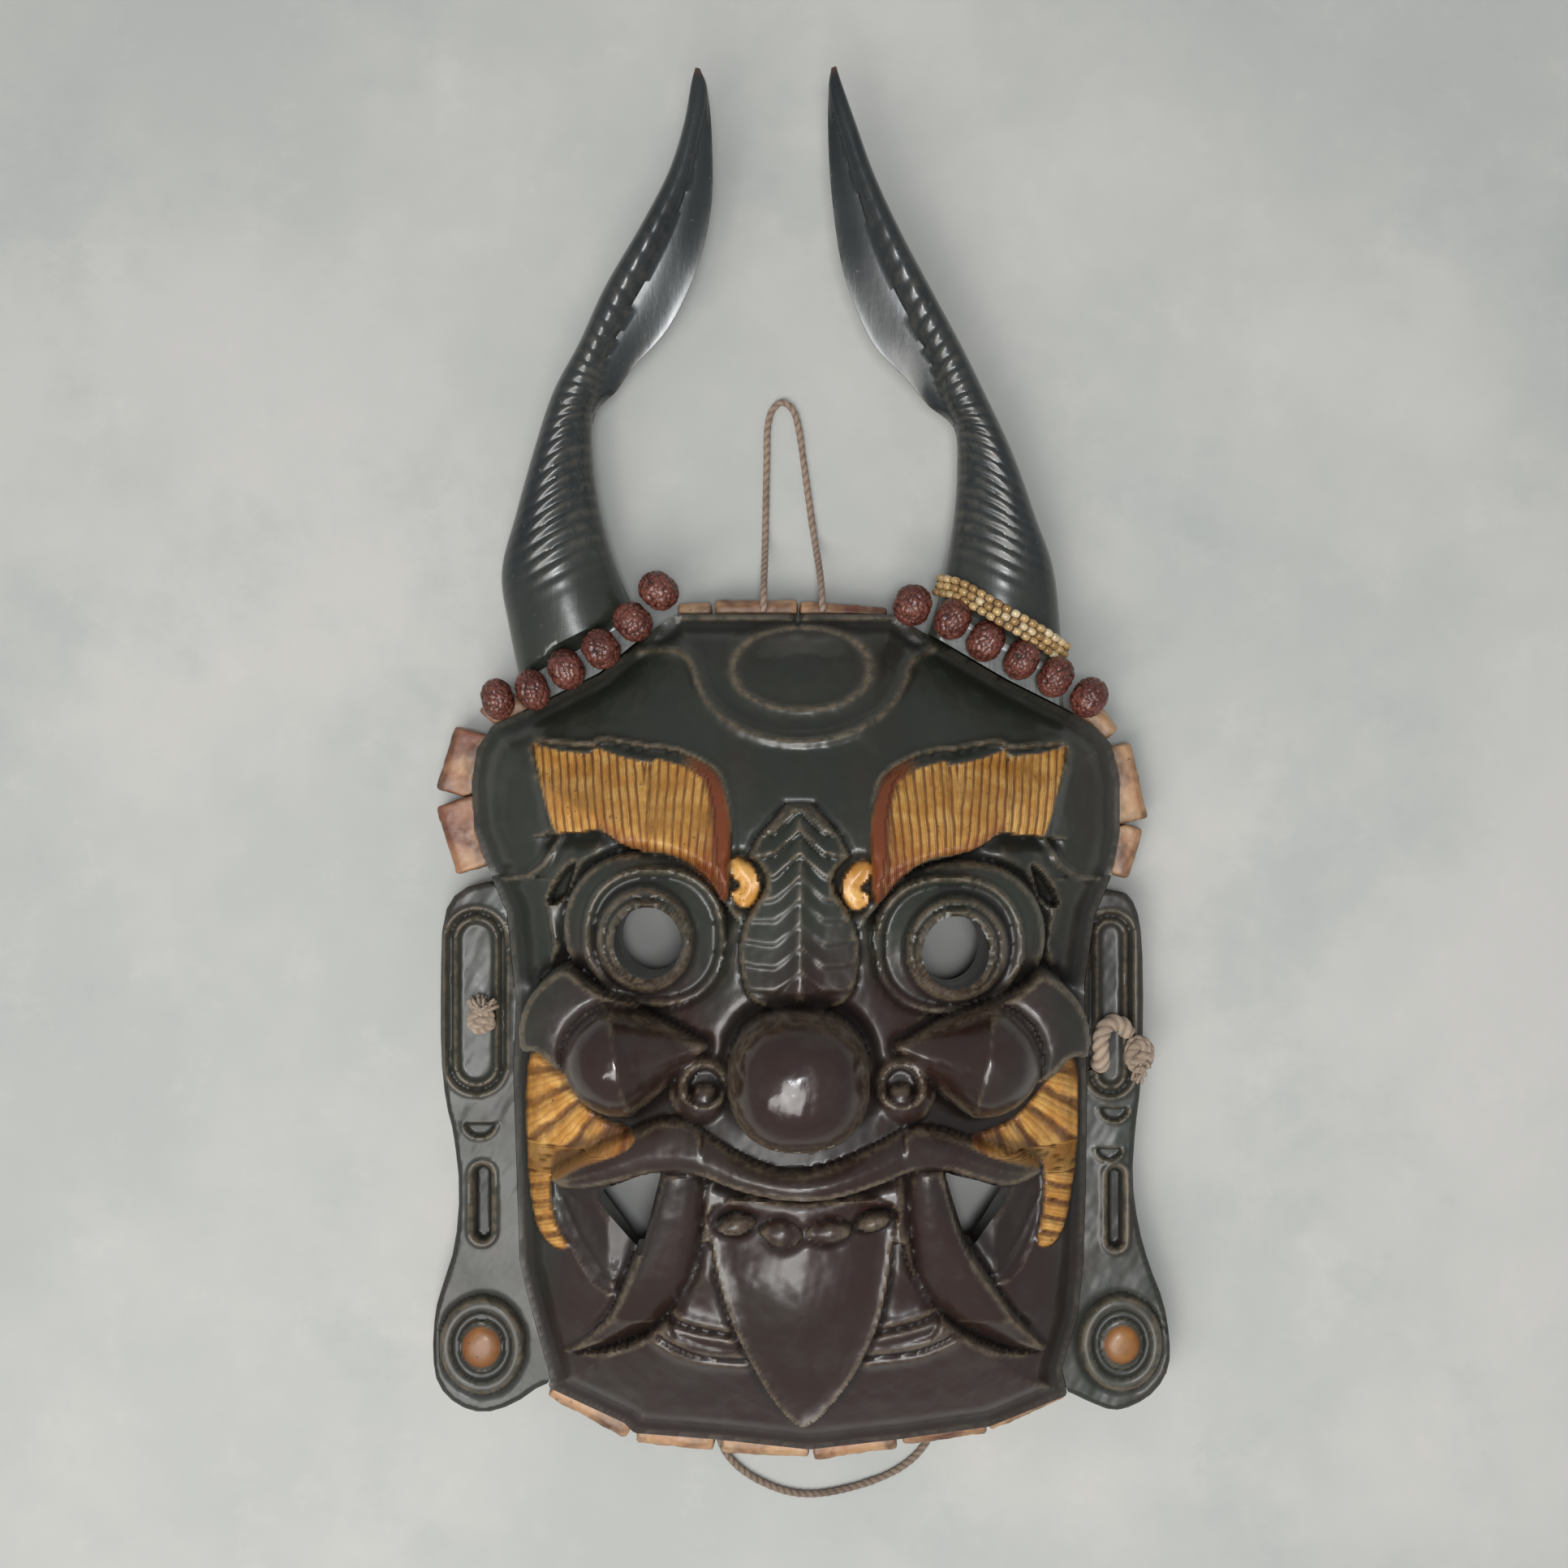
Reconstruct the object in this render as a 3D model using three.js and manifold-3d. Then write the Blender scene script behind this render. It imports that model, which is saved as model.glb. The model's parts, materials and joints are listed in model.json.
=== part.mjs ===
// A carved wooden cham mask with two horns, lying face up on its back rim.
// Millimetres. +X is the viewer's right, +Y is towards the horns, +Z is out of the face.
import * as THREE from 'three';
import { mergeVertices } from 'three/addons/utils/BufferGeometryUtils.js';
import Module from 'manifold-3d';

const wasm = await Module();
wasm.setup();

// ---- driving dimensions ----
const GAP = 0.3; // clearance between pieces that touch
const FLOOR = 0; // the plane of the back rim

// The wooden block of the face.
const WALL_H = 27; // height of the plain side wall
const BEVEL = 6; // width and rise of the bevel along the front edge
const DOME_RISE = 42; // how far the front swells above the bevel
const DOME_RUN = 82; // how far in from the edge the swelling goes on
const RIDGE_RISE = 14; // the middle of the face between the brows and the mouth
const SHELL = 15; // thickness of the rim at the back
const HOLLOW_START = 12; // height of the hollow's own side wall
const HOLLOW_RISE = 40;
const HOLLOW_RUN = 72;

// The two sides differ a little, as hand carving does.
const SIDES = {
  left: {
    sign: -1, eye: [-57, -57.5], eyeR: [25, 25], pupil: [13.2, 13.2], cheek: [-67, -101.5], cheekR: 22.5,
    pad: [-84, -84], curl: [-21.5, -35], nostril: [-36, -109.5],
  },
  right: {
    sign: 1, eye: [56, -61], eyeR: [28.5, 24.5], pupil: [12.8, 14], cheek: [66, -101.5], cheekR: 23.5,
    pad: [86, -87], curl: [22, -36], nostril: [34, -109.5],
  },
};
const NOSE = { at: [-1.4, -107], radii: [27, 27], top: 126 };
const THIRD_EYE = { at: [0, 45], radii: [26.5, 16.5] };

const OUTLINE = [
  [-48, 68], [36, 68], [46, 62], [80, 42], [114, 25], [122, 17], [125.5, 2], [125.5, -18], [122, -36],
  [115.5, -51], [111.5, -78], [112.5, -120], [112, -158], [111, -188], [109, -208], [102.5, -230],
  [105, -240], [74, -252.5], [38, -257.5], [3, -261.5], [-34, -257.5], [-66, -255], [-70, -251],
  [-100, -237], [-99, -233], [-104.5, -213], [-108, -200], [-111, -187], [-113.5, -112], [-112.5, -85],
  [-116, -50], [-122.5, -35], [-129, -17], [-130, 1], [-128, 14.5], [-122, 24], [-107, 30.5], [-79, 44.5],
  [-57, 63],
];
const COLLAR = [
  [-60, 54], [-50, 54], [-42.5, 49.5], [-38, 34], [-26.5, 22.5], [-9, 17], [7, 17], [22, 21.5],
  [33, 29], [39.5, 39], [41, 50], [45, 56],
];
const BROW = [
  [-102, 16.5], [-89.5, 12.5], [-89.5, 14.5], [-77.5, 12.5], [-68, 7.5], [-68, 10], [-56, 9], [-47.5, 8.5],
  [-36, 1], [-33.5, -8], [-29.5, -37], [-32, -38.5], [-41, -29.5], [-50, -25], [-61, -24], [-68, -20],
  [-76, -14], [-89.5, -17.5], [-95.5, -9], [-99.5, 5],
];
const JAW = [ // the sunk part between the tusks, above the chin
  [-44, -150], [44, -150], [52, -176], [62, -196], [40, -213], [-40, -213], [-61, -196], [-51, -176],
];
const BRIDGE = [[-1, -1.5], [-21.5, -23], [-23, -47], [-24, -77], [-1, -82], [22, -77], [21.5, -47], [22, -22]];
const CHEVRONS = [-2, -8, -16, -25, -33, -41, -50.5, -58.5, -68, -80.5]; // ridge tops down the bridge
const LIP = [
  [-95, -143.5], [-80, -139.5], [-64, -133], [-50, -129], [-38, -133], [-22, -142], [-1, -145.5],
  [20, -142], [36, -134], [50, -130], [66, -134], [80, -138.5], [90, -142.5],
];
const TUSK = { // middle line and half width, from the lip to the bottom corner
  left: [[-44, -142, 8.5], [-47, -160, 9.5], [-52, -178, 10.5], [-62, -194, 10], [-76, -208, 7], [-92, -219, 2.5]],
  right: [[45, -143, 8.5], [48, -160, 10], [53, -177, 10.5], [63, -192, 10], [77, -205, 7], [95, -217, 2.5]],
};
const TONGUE = [
  [-34, -160], [-33.5, -171], [-28, -192], [-22, -208.5], [-14, -227], [-4, -241], [0, -243], [4, -241],
  [12.5, -233], [19.5, -222], [25, -210], [31, -188], [35, -165], [35, -156],
];
const TEETH = [[-23.5, -162, 7, 3.8], [-7.5, -164.5, 6.8, 5.4], [9, -164, 7.2, 4.8], [23.5, -161.5, 6, 3.6]];
const MOUTH_GAP = {
  left: [[-52.5, -143], [-74.5, -150.5], [-77, -158], [-63, -175], [-60, -174]],
  right: [[54, -146], [78, -151.5], [79, -156], [64, -175], [61.5, -171]],
};
const MOUTH_CORNER = { // the sunk floor of the mouth beside each tusk
  left: [[-44, -138], [-74, -139], [-96, -147], [-92, -168], [-80, -184], [-70, -192], [-58, -184], [-50, -160]],
  right: [[44, -138], [74, -139], [91, -145], [89, -166], [81, -184], [71, -191], [59, -184], [51, -160]],
};
const WHISKERS = {
  left: [
    [-97, -99], [-92.5, -108.5], [-84, -120], [-75, -126], [-62.5, -130.5], [-79, -136], [-97, -143],
    [-98, -160], [-90.5, -177], [-102, -172], [-107, -155], [-112, -140], [-112, -112],
  ],
  right: [
    [101.5, -103], [94, -116], [80, -128], [63.5, -134], [78, -138.5], [92, -144.5], [93, -158],
    [91, -178], [102, -174], [108, -155], [111, -140], [111, -116],
  ],
};

// ---- helpers on the plane ----
const clamp01 = (t) => Math.min(1, Math.max(0, t));
const smooth = (a, b, t) => {
  const u = clamp01((t - a) / (b - a));
  return u * u * (3 - 2 * u);
};
const round = (t) => Math.sqrt(Math.max(0, 1 - t * t)); // a half circle over -1..1
const bump = (t) => Math.exp(-t * t);

function spline(values, t) {
  // a smooth curve through evenly spaced values, t from 0 to 1
  const u = clamp01(t) * (values.length - 1);
  const i = Math.min(Math.floor(u), values.length - 2);
  const f = u - i;
  const at = (k) => values[Math.min(Math.max(k, 0), values.length - 1)];
  const [a, b, c, d] = [at(i - 1), at(i), at(i + 1), at(i + 2)];
  return b + 0.5 * f * (c - a + f * (2 * a - 5 * b + 4 * c - d + f * (3 * (b - c) + d - a)));
}

function nearest(points, x, y, closed) {
  // distance to a line of points, and how far along it in segments
  let best = Infinity;
  let along = 0;
  const last = closed ? points.length : points.length - 1;
  for (let i = 0; i < last; i++) {
    const [ax, ay] = points[i];
    const [bx, by] = points[(i + 1) % points.length];
    const t = clamp01(((x - ax) * (bx - ax) + (y - ay) * (by - ay)) / ((bx - ax) ** 2 + (by - ay) ** 2));
    const d = Math.hypot(x - ax - t * (bx - ax), y - ay - t * (by - ay));
    if (d < best) {
      best = d;
      along = i + t;
    }
  }
  return [best, along];
}

function inside(points, x, y) {
  // distance to the edge, positive within the closed outline
  let within = false;
  for (let i = 0, j = points.length - 1; i < points.length; j = i++) {
    const [ax, ay] = points[i];
    const [bx, by] = points[j];
    if (ay > y !== by > y && x < ((bx - ax) * (y - ay)) / (by - ay) + ax) within = !within;
  }
  return (within ? 1 : -1) * nearest(points, x, y, true)[0];
}

// ---- the front of the face, as heights over the plane ----
function dome(x, y) {
  // the plain swelling front, from the bevelled edge to the middle ridge
  const s = inside(OUTLINE, x, y);
  if (s <= 0) return WALL_H;
  const swell = DOME_RISE * Math.sin(clamp01((s - BEVEL) / DOME_RUN) * Math.PI / 2);
  const ridge = RIDGE_RISE * bump(x / 48) * smooth(20, -40, y) * smooth(-235, -150, y);
  return WALL_H + BEVEL * smooth(0, 2 * BEVEL, s) + swell + ridge * smooth(0, 30, s);
}

function browTop(x, y) {
  // sunk below the forehead along its upper edge and standing out over the eye at its foot
  const drop = clamp01((14 - 0.25 * Math.abs(Math.abs(x) - 66) - y) / 34);
  return dome(x, y) - 3.5 + 11 * drop;
}

const mouthFloor = (x, y) => Math.min(dome(x, y) - 4, 54 + 0.02 * (y + 160));
const jawFloor = (x, y) => dome(x, y) - 11 * smooth(-212, -185, y);
const tongueTop = (x, y) => 58 + 30 * smooth(-262, -178, y) - 0.012 * x * x;
const bridgeTop = (x, y) => dome(x, y) + 5.5 - 0.1 * Math.abs(x + 1);
const whiskerTop = (x, y) => dome(x, y) + 3;

function hollow(x, y) {
  const s = inside(OUTLINE, x, y) - SHELL;
  return HOLLOW_START + HOLLOW_RISE * Math.sin(clamp01(s / HOLLOW_RUN) * Math.PI / 2);
}

// ---- solids ----
function solid(geometry) {
  const g = geometry.clone();
  g.deleteAttribute('normal');
  g.deleteAttribute('uv');
  const merged = mergeVertices(g, 1e-4);
  return new wasm.Manifold(new wasm.Mesh({
    numProp: 3,
    vertProperties: Float32Array.from(merged.attributes.position.array),
    triVerts: Uint32Array.from(merged.index.array),
  }));
}

const shapeOf = (points) => new THREE.Shape(points.map(([x, y]) => new THREE.Vector2(x, y)));

function prism(points, low, high) {
  const g = new THREE.ExtrudeGeometry(shapeOf(points), { depth: high - low, bevelEnabled: false, curveSegments: 8 });
  g.translate(0, 0, low);
  return solid(g);
}

function grown(points, by) {
  // the closed outline moved outwards by a distance, corner by corner
  let area = 0;
  for (let i = 0; i < points.length; i++) {
    const [ax, ay] = points[i];
    const [bx, by2] = points[(i + 1) % points.length];
    area += ax * by2 - bx * ay;
  }
  const turn = Math.sign(area);
  return points.map((p, i) => {
    const a = points[(i + points.length - 1) % points.length];
    const b = points[(i + 1) % points.length];
    const n1 = new THREE.Vector2(p[1] - a[1], a[0] - p[0]).normalize();
    const n2 = new THREE.Vector2(b[1] - p[1], p[0] - b[0]).normalize();
    const n = n1.add(n2).normalize();
    const c = Math.max(0.5, n.dot(new THREE.Vector2(b[1] - p[1], p[0] - b[0]).normalize()));
    return [p[0] + (n.x * by * turn) / c, p[1] + (n.y * by * turn) / c];
  });
}

function field(height, { center, size }, cells, tolerance, bottom) {
  // A closed solid under a height function. Right triangles are halved only where the surface needs it.
  const n = cells + 1;
  const step = size / cells;
  const at = (i, j) => [center[0] - size / 2 + i * step, center[1] - size / 2 + j * step];
  const z = new Float64Array(n * n);
  for (let j = 0; j < n; j++) for (let i = 0; i < n; i++) z[j * n + i] = height(...at(i, j));
  const levels = [[[0, 0, cells, cells, cells, 0], [cells, cells, 0, 0, 0, cells]]];
  const legs = ([[ax, ay, , , bx, by]]) => Math.abs(ax - bx) + Math.abs(ay - by);
  while (legs(levels.at(-1)) > 1) {
    const next = [];
    for (const [ax, ay, bx, by, cx, cy] of levels.at(-1)) {
      const mx = (ax + bx) / 2;
      const my = (ay + by) / 2;
      next.push([cx, cy, ax, ay, mx, my], [bx, by, cx, cy, mx, my]);
    }
    levels.push(next);
  }
  const need = new Float64Array(n * n);
  for (let k = levels.length - 1; k >= 0; k--) {
    for (const [ax, ay, bx, by, cx, cy] of levels[k]) {
      const m = ((ay + by) / 2) * n + (ax + bx) / 2;
      if (!Number.isInteger(m) || (ax + bx) % 2 || (ay + by) % 2) continue;
      const own = Math.abs(z[m] - (z[ay * n + ax] + z[by * n + bx]) / 2);
      let most = Math.max(need[m], own);
      for (const [px, py] of [[ax + cx, ay + cy], [bx + cx, by + cy]]) {
        if (px % 2 === 0 && py % 2 === 0) most = Math.max(most, need[(py / 2) * n + px / 2]);
      }
      need[m] = most;
    }
  }
  const triangles = [];
  const split = (ax, ay, bx, by, cx, cy) => {
    const even = (ax + bx) % 2 === 0 && (ay + by) % 2 === 0;
    const mx = (ax + bx) / 2;
    const my = (ay + by) / 2;
    if (even && need[my * n + mx] > tolerance) {
      split(cx, cy, ax, ay, mx, my);
      split(bx, by, cx, cy, mx, my);
    } else triangles.push([ay * n + ax, by * n + bx, cy * n + cx]);
  };
  for (const t of levels[0]) split(...t);
  const index = new Map();
  const vertices = [];
  const vertex = (id, low) => {
    const key = low ? -id - 1 : id;
    if (!index.has(key)) {
      index.set(key, vertices.length / 3);
      vertices.push(...at(id % n, Math.floor(id / n)), low ? bottom : z[id]);
    }
    return index.get(key);
  };
  const faces = [];
  const edges = new Map();
  for (const t of triangles) {
    const [a, b, c] = t;
    const [pa, pb, pc] = t.map((id) => at(id % n, Math.floor(id / n)));
    const ccw = (pb[0] - pa[0]) * (pc[1] - pa[1]) - (pb[1] - pa[1]) * (pc[0] - pa[0]) > 0;
    const [p, q, r] = ccw ? [a, b, c] : [a, c, b];
    faces.push(vertex(p), vertex(q), vertex(r), vertex(p, true), vertex(r, true), vertex(q, true));
    for (const [u, v] of [[p, q], [q, r], [r, p]]) {
      if (edges.has(`${v},${u}`)) edges.delete(`${v},${u}`);
      else edges.set(`${u},${v}`, [u, v]);
    }
  }
  for (const [u, v] of edges.values()) {
    faces.push(vertex(v), vertex(u), vertex(u, true), vertex(v), vertex(u, true), vertex(v, true));
  }
  return new wasm.Manifold(new wasm.Mesh({
    numProp: 3,
    vertProperties: Float32Array.from(vertices),
    triVerts: Uint32Array.from(faces),
  }));
}

function loft(rings) {
  // joins rings of equal length; the last ring may shrink to one point
  const n = rings[0].length;
  const vertices = rings.flat(2);
  const faces = [];
  for (let k = 0; k + 1 < rings.length; k++) {
    for (let i = 0; i < n; i++) {
      const a = k * n + i;
      const b = k * n + ((i + 1) % n);
      faces.push(a, b, b + n, a, b + n, a + n);
    }
  }
  const cap = (ring, start, flip) => {
    const mid = [0, 1, 2].map((k) => ring.reduce((sum, p) => sum + p[k], 0) / n);
    const m = vertices.length / 3;
    vertices.push(...mid);
    for (let i = 0; i < n; i++) {
      const a = start + i;
      const b = start + ((i + 1) % n);
      faces.push(...(flip ? [m, b, a] : [m, a, b]));
    }
  };
  cap(rings[0], 0, true);
  cap(rings.at(-1), (rings.length - 1) * n, false);
  const g = new THREE.BufferGeometry();
  g.setAttribute('position', new THREE.Float32BufferAttribute(vertices, 3));
  g.setIndex(faces);
  return solid(g);
}

// ---- materials ----
const material = (color, roughness, metalness = 0) => new THREE.MeshStandardMaterial({ color, roughness, metalness });
const WOOD = material(0x2a211d, 0.42);
const EAR_WOOD = material(0x2d2b27, 0.5);
const HORN = material(0x1c2022, 0.38);
const BONE = material(0xa87f55, 0.55);
const SEED = material(0x4a2222, 0.45);
const GLASS = material(0x8a6a3c, 0.25);
const STRING = material(0x9c8676, 0.85);
const JUTE = material(0xa0926a, 0.9);

const mask = new THREE.Group();
const cords = new THREE.Group();

function piece(name, part, look, parent = mask) {
  const mesh = part.getMesh();
  const g = new THREE.BufferGeometry();
  g.setAttribute('position', new THREE.Float32BufferAttribute(mesh.vertProperties, 3));
  g.setIndex([...mesh.triVerts]);
  g.computeVertexNormals();
  const node = new THREE.Mesh(g, look);
  node.name = name;
  parent.add(node);
}

// ---- the rudraksha seeds and the groove that they sit in ----
const SEED_R = 8.4;
const SEED_Z = 41;
const SEEDS = {
  left: [[-118, 34], [-104.5, 37.5], [-91.5, 45.5], [-78, 53.5], [-65.5, 64], [-55.5, 76]],
  right: [[43, 70.5], [58.5, 65], [71.5, 56.5], [85.5, 49.5], [98.5, 42.5], [111.5, 34.5]],
};

function seed(row, k) {
  // strung seeds are a little shorter along the string, so each just misses the next
  const [x, y] = row[k];
  const gaps = [row[k - 1], row[k + 1]].filter(Boolean).map(([a, b]) => Math.hypot(a - x, b - y));
  const [from, to] = [row[Math.max(k - 1, 0)], row[Math.min(k + 1, row.length - 1)]];
  const g = new THREE.IcosahedronGeometry(SEED_R, 1);
  g.rotateX(k * 1.3);
  g.scale(Math.min(1, (Math.min(...gaps) / 2 - GAP) / SEED_R), 1, 1);
  g.rotateZ(Math.atan2(to[1] - from[1], to[0] - from[0]));
  g.translate(x, y, SEED_Z);
  return solid(g);
}

function channel(points) {
  // the groove: a fat eight-sided rod along the row of seeds
  const row = points.map(([x, y]) => new THREE.Vector3(x, y, SEED_Z));
  const first = row[0].clone().sub(row[1]).setLength(SEED_R).add(row[0]);
  const last = row.at(-1).clone().sub(row.at(-2)).setLength(SEED_R).add(row.at(-1));
  return tube(new THREE.CatmullRomCurve3([first, ...row, last]), SEED_R + 2 * GAP, 12, 14);
}

function shelf(points) {
  // the flat step of the horn's foot that the seeds lie on
  const reach = 2 * SEED_R;
  const [a, b] = [points[0], points.at(-1)];
  const sign = Math.sign(b[0] - a[0]);
  const row = [[a[0] - reach * sign, a[1]], ...points, [b[0] + reach * sign, b[1]]];
  const back = row.map(([x, y]) => [x, y - 3 * reach]).reverse();
  return prism([...row, ...back], SEED_Z - SEED_R - GAP, 200);
}

function tube(path, radius, sides, steps) {
  const section = new THREE.Shape();
  for (let i = 0; i < sides; i++) {
    const a = (2 * Math.PI * i) / sides;
    if (i) section.lineTo(radius * Math.cos(a), radius * Math.sin(a));
    else section.moveTo(radius, 0);
  }
  return solid(new THREE.ExtrudeGeometry(section, { steps, extrudePath: path, bevelEnabled: false }));
}

const routes = { left: channel(SEEDS.left), right: channel(SEEDS.right) };
const faceWall = prism(grown(OUTLINE, GAP), -30, 200);

// ---- the face ----
const FIELD = { center: [-2, -97], size: 352 }; // the square that the surfaces are worked out on
const HIGH = 200; // above everything
const WITHIN = 45; // a height inside the wood
const BITE = 0.1; // how far a stamped block runs into the wood around it

function stamp(wood, outline, top, cells, tolerance) {
  // gives the wood inside an outline a surface of its own
  const xs = outline.map(([x]) => x);
  const ys = outline.map(([, y]) => y);
  const [x0, x1, y0, y1] = [Math.min(...xs), Math.max(...xs), Math.min(...ys), Math.max(...ys)];
  const square = { center: [(x0 + x1) / 2, (y0 + y1) / 2], size: Math.max(x1 - x0, y1 - y0) + 4 };
  const block = field(top, square, cells, tolerance, -20).intersect(prism(grown(outline, BITE), -10, HIGH));
  return wood.subtract(prism(outline, -30, HIGH)).add(block);
}

function boss([x, y, z], [rx, ry, rz], around, rows) {
  // an egg-shaped boss
  const g = new THREE.SphereGeometry(1, around, rows);
  g.rotateX(Math.PI / 2);
  g.scale(rx, ry, rz);
  g.translate(x, y, z);
  return solid(g);
}

function turned(profile, [x, y, z], [rx, ry], tilt) {
  // a turned boss with rings, stretched to an oval and tilted about X and Y
  const g = new THREE.LatheGeometry(profile.map(([r, h]) => new THREE.Vector2(r, h)), 16);
  g.rotateX(Math.PI / 2);
  g.scale(rx, ry, 1);
  g.rotateX(tilt[0]);
  g.rotateY(tilt[1]);
  g.translate(x, y, z);
  return solid(g);
}

function rod(line, sides) {
  // a rounded ridge that goes down into the wood: each point is x, y, z, half width and rise
  const rings = line.map(([x, y, z, w, h], k) => {
    const [a, b] = [line[Math.max(k - 1, 0)], line[Math.min(k + 1, line.length - 1)]];
    const along = new THREE.Vector2(b[0] - a[0], b[1] - a[1]).normalize();
    const at = (across, height) => [x - along.y * across, y + along.x * across, height];
    const arc = Array.from({ length: sides + 1 }, (_, i) => {
      const t = (Math.PI * i) / sides;
      return at(w * Math.cos(t), z + h * Math.sin(t));
    });
    return [...arc, at(-w, WITHIN), at(w, WITHIN)];
  });
  return loft(rings);
}

function smoothLine(points, count) {
  const at = (t) => points[0].map((_, i) => spline(points.map((p) => p[i]), t));
  return Array.from({ length: count }, (_, k) => at(k / (count - 1)));
}

const EYE_PROFILE = [ // share of the eye's radius, and height over its middle plane
  [0, -24], [1.1, -24], [1.1, 2], [1, 8], [0.94, 6], [0.72, 12.5], [0.67, 11.4], [0.57, 15.2], [0, 13],
];
const THIRD_EYE_PROFILE = [
  [0, -14], [1.12, -14], [1.12, 0], [1.06, 1.8], [0.95, 0], [0.84, 2], [0.5, 4.4], [0, 5.2],
];
const THIRD_EYE_TILT = 0.6; // the forehead leans back

function eyeSocket(wood, side) {
  const [x, y] = side.eye;
  const lid = boss([x + 5.5 * side.sign, y + 8, 62], [side.eyeR[0] + 3, side.eyeR[1] + 3, 14], 14, 6);
  const [lx, ly] = [x + 31 * side.sign, y + 16];
  const cut = prism(side.sign < 0
    ? [[lx - 9, ly + 1], [lx + 4, ly + 16], [lx + 5, ly - 6]]
    : [[lx + 9, ly + 1], [lx - 5, ly - 6], [lx - 4, ly + 16]], 58, HIGH);
  return wood.add(lid).add(turned(EYE_PROFILE, [x, y, 70], side.eyeR, [0.06, 0.13 * side.sign])).subtract(cut);
}

function chevrons(wood) {
  // raised barbs, like a feather's, down both sides of the bridge
  let carved = wood;
  CHEVRONS.slice(1).forEach((top, k) => {
    const half = Math.min(21, 8 + 8 * k);
    const step = (CHEVRONS[k] - top) * 0.9;
    const rings = [-1, 0, 1].map((u) => {
      const x = -1 + half * u;
      const y = top - 0.6 * Math.abs(half * u);
      const z = bridgeTop(x, y);
      return [[x, y, z - 9], [x, y, z + 2.6], [x, y + step, z - 0.5], [x, y + step, z - 9]];
    });
    carved = carved.add(loft(rings.map((r) => r.reverse())));
  });
  return carved;
}

function carve(wood, name) {
  const side = SIDES[name];
  let face = stamp(wood, MOUTH_CORNER[name], mouthFloor, 8, 2.5);
  face = stamp(face, side.sign < 0 ? BROW : BROW.map(([x, y]) => [-x - 1.5, y - 1]).reverse(), browTop, 8, 1.6);
  face = stamp(face, WHISKERS[name], whiskerTop, 8, 2.2);
  face = eyeSocket(face, side);
  face = face.add(boss([...side.pad, 58], [21, 21, 27], 12, 7));
  face = face.add(boss([...side.cheek, 70], [side.cheekR, side.cheekR, 33], 14, 8));
  face = face.add(boss([...side.curl, 80], [6, 9.5, 10], 8, 6));
  face = face.add(boss([...side.nostril, 84], [11.5, 12.5, 20], 10, 6));
  return face.add(rod(TUSK[name].map(([x, y, w], k) => [x, y, 82 - 6.6 * k, w, 8]), 5));
}

function eyeBore(side) {
  const [rx, ry] = side.pupil;
  const g = new THREE.CylinderGeometry(1, 1, 240, 16);
  g.rotateX(Math.PI / 2);
  g.scale(rx, ry, 1);
  g.translate(side.eye[0], side.eye[1], 60);
  return solid(g);
}

function carvedFace() {
  let face = field(dome, FIELD, 32, 1.9, -20);
  face = stamp(face, JAW, jawFloor, 8, 2.2);
  face = face.add(rod(smoothLine(COLLAR, 13).map(([x, y]) => [x, y, dome(x, y), 2.4, 3]), 2));
  const [tx, ty] = THIRD_EYE.at;
  const [trx, tryy] = THIRD_EYE.radii;
  const thirdEyeRadii = [trx, tryy / Math.cos(THIRD_EYE_TILT)];
  face = face.add(turned(THIRD_EYE_PROFILE, [tx, ty, dome(tx, ty)], thirdEyeRadii, [THIRD_EYE_TILT, 0]));
  for (const name of ['left', 'right']) face = carve(face, name);
  face = chevrons(stamp(face, BRIDGE, bridgeTop, 8, 1.6));
  face = stamp(face, TONGUE, tongueTop, 8, 1.6);
  for (const [x, y, rx, ry] of TEETH) face = face.add(boss([x, y, 86], [rx, ry, 6], 6, 6));
  const middle = (LIP.length - 1) / 2;
  face = face.add(rod(LIP.map(([x, y], k) => {
    const out = Math.abs(k - middle) / middle;
    return [x, y, 92 - 30 * out ** 1.6, 8.5 - 2 * out, 9];
  }), 5));
  const { at, radii, top } = NOSE;
  face = face.add(boss([...at, top - 34], [...radii, 34], 18, 10));
  face = face.intersect(prism(OUTLINE, FLOOR, HIGH));
  face = face.subtract(field(hollow, FIELD, 32, 3, -40).intersect(prism(grown(OUTLINE, -SHELL), -30, HIGH)));
  for (const name of ['left', 'right']) {
    face = face.subtract(eyeBore(SIDES[name])).subtract(prism(MOUTH_GAP[name], -20, HIGH)).subtract(routes[name]);
  }
  return face;
}

piece('face', carvedFace(), WOOD);

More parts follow.
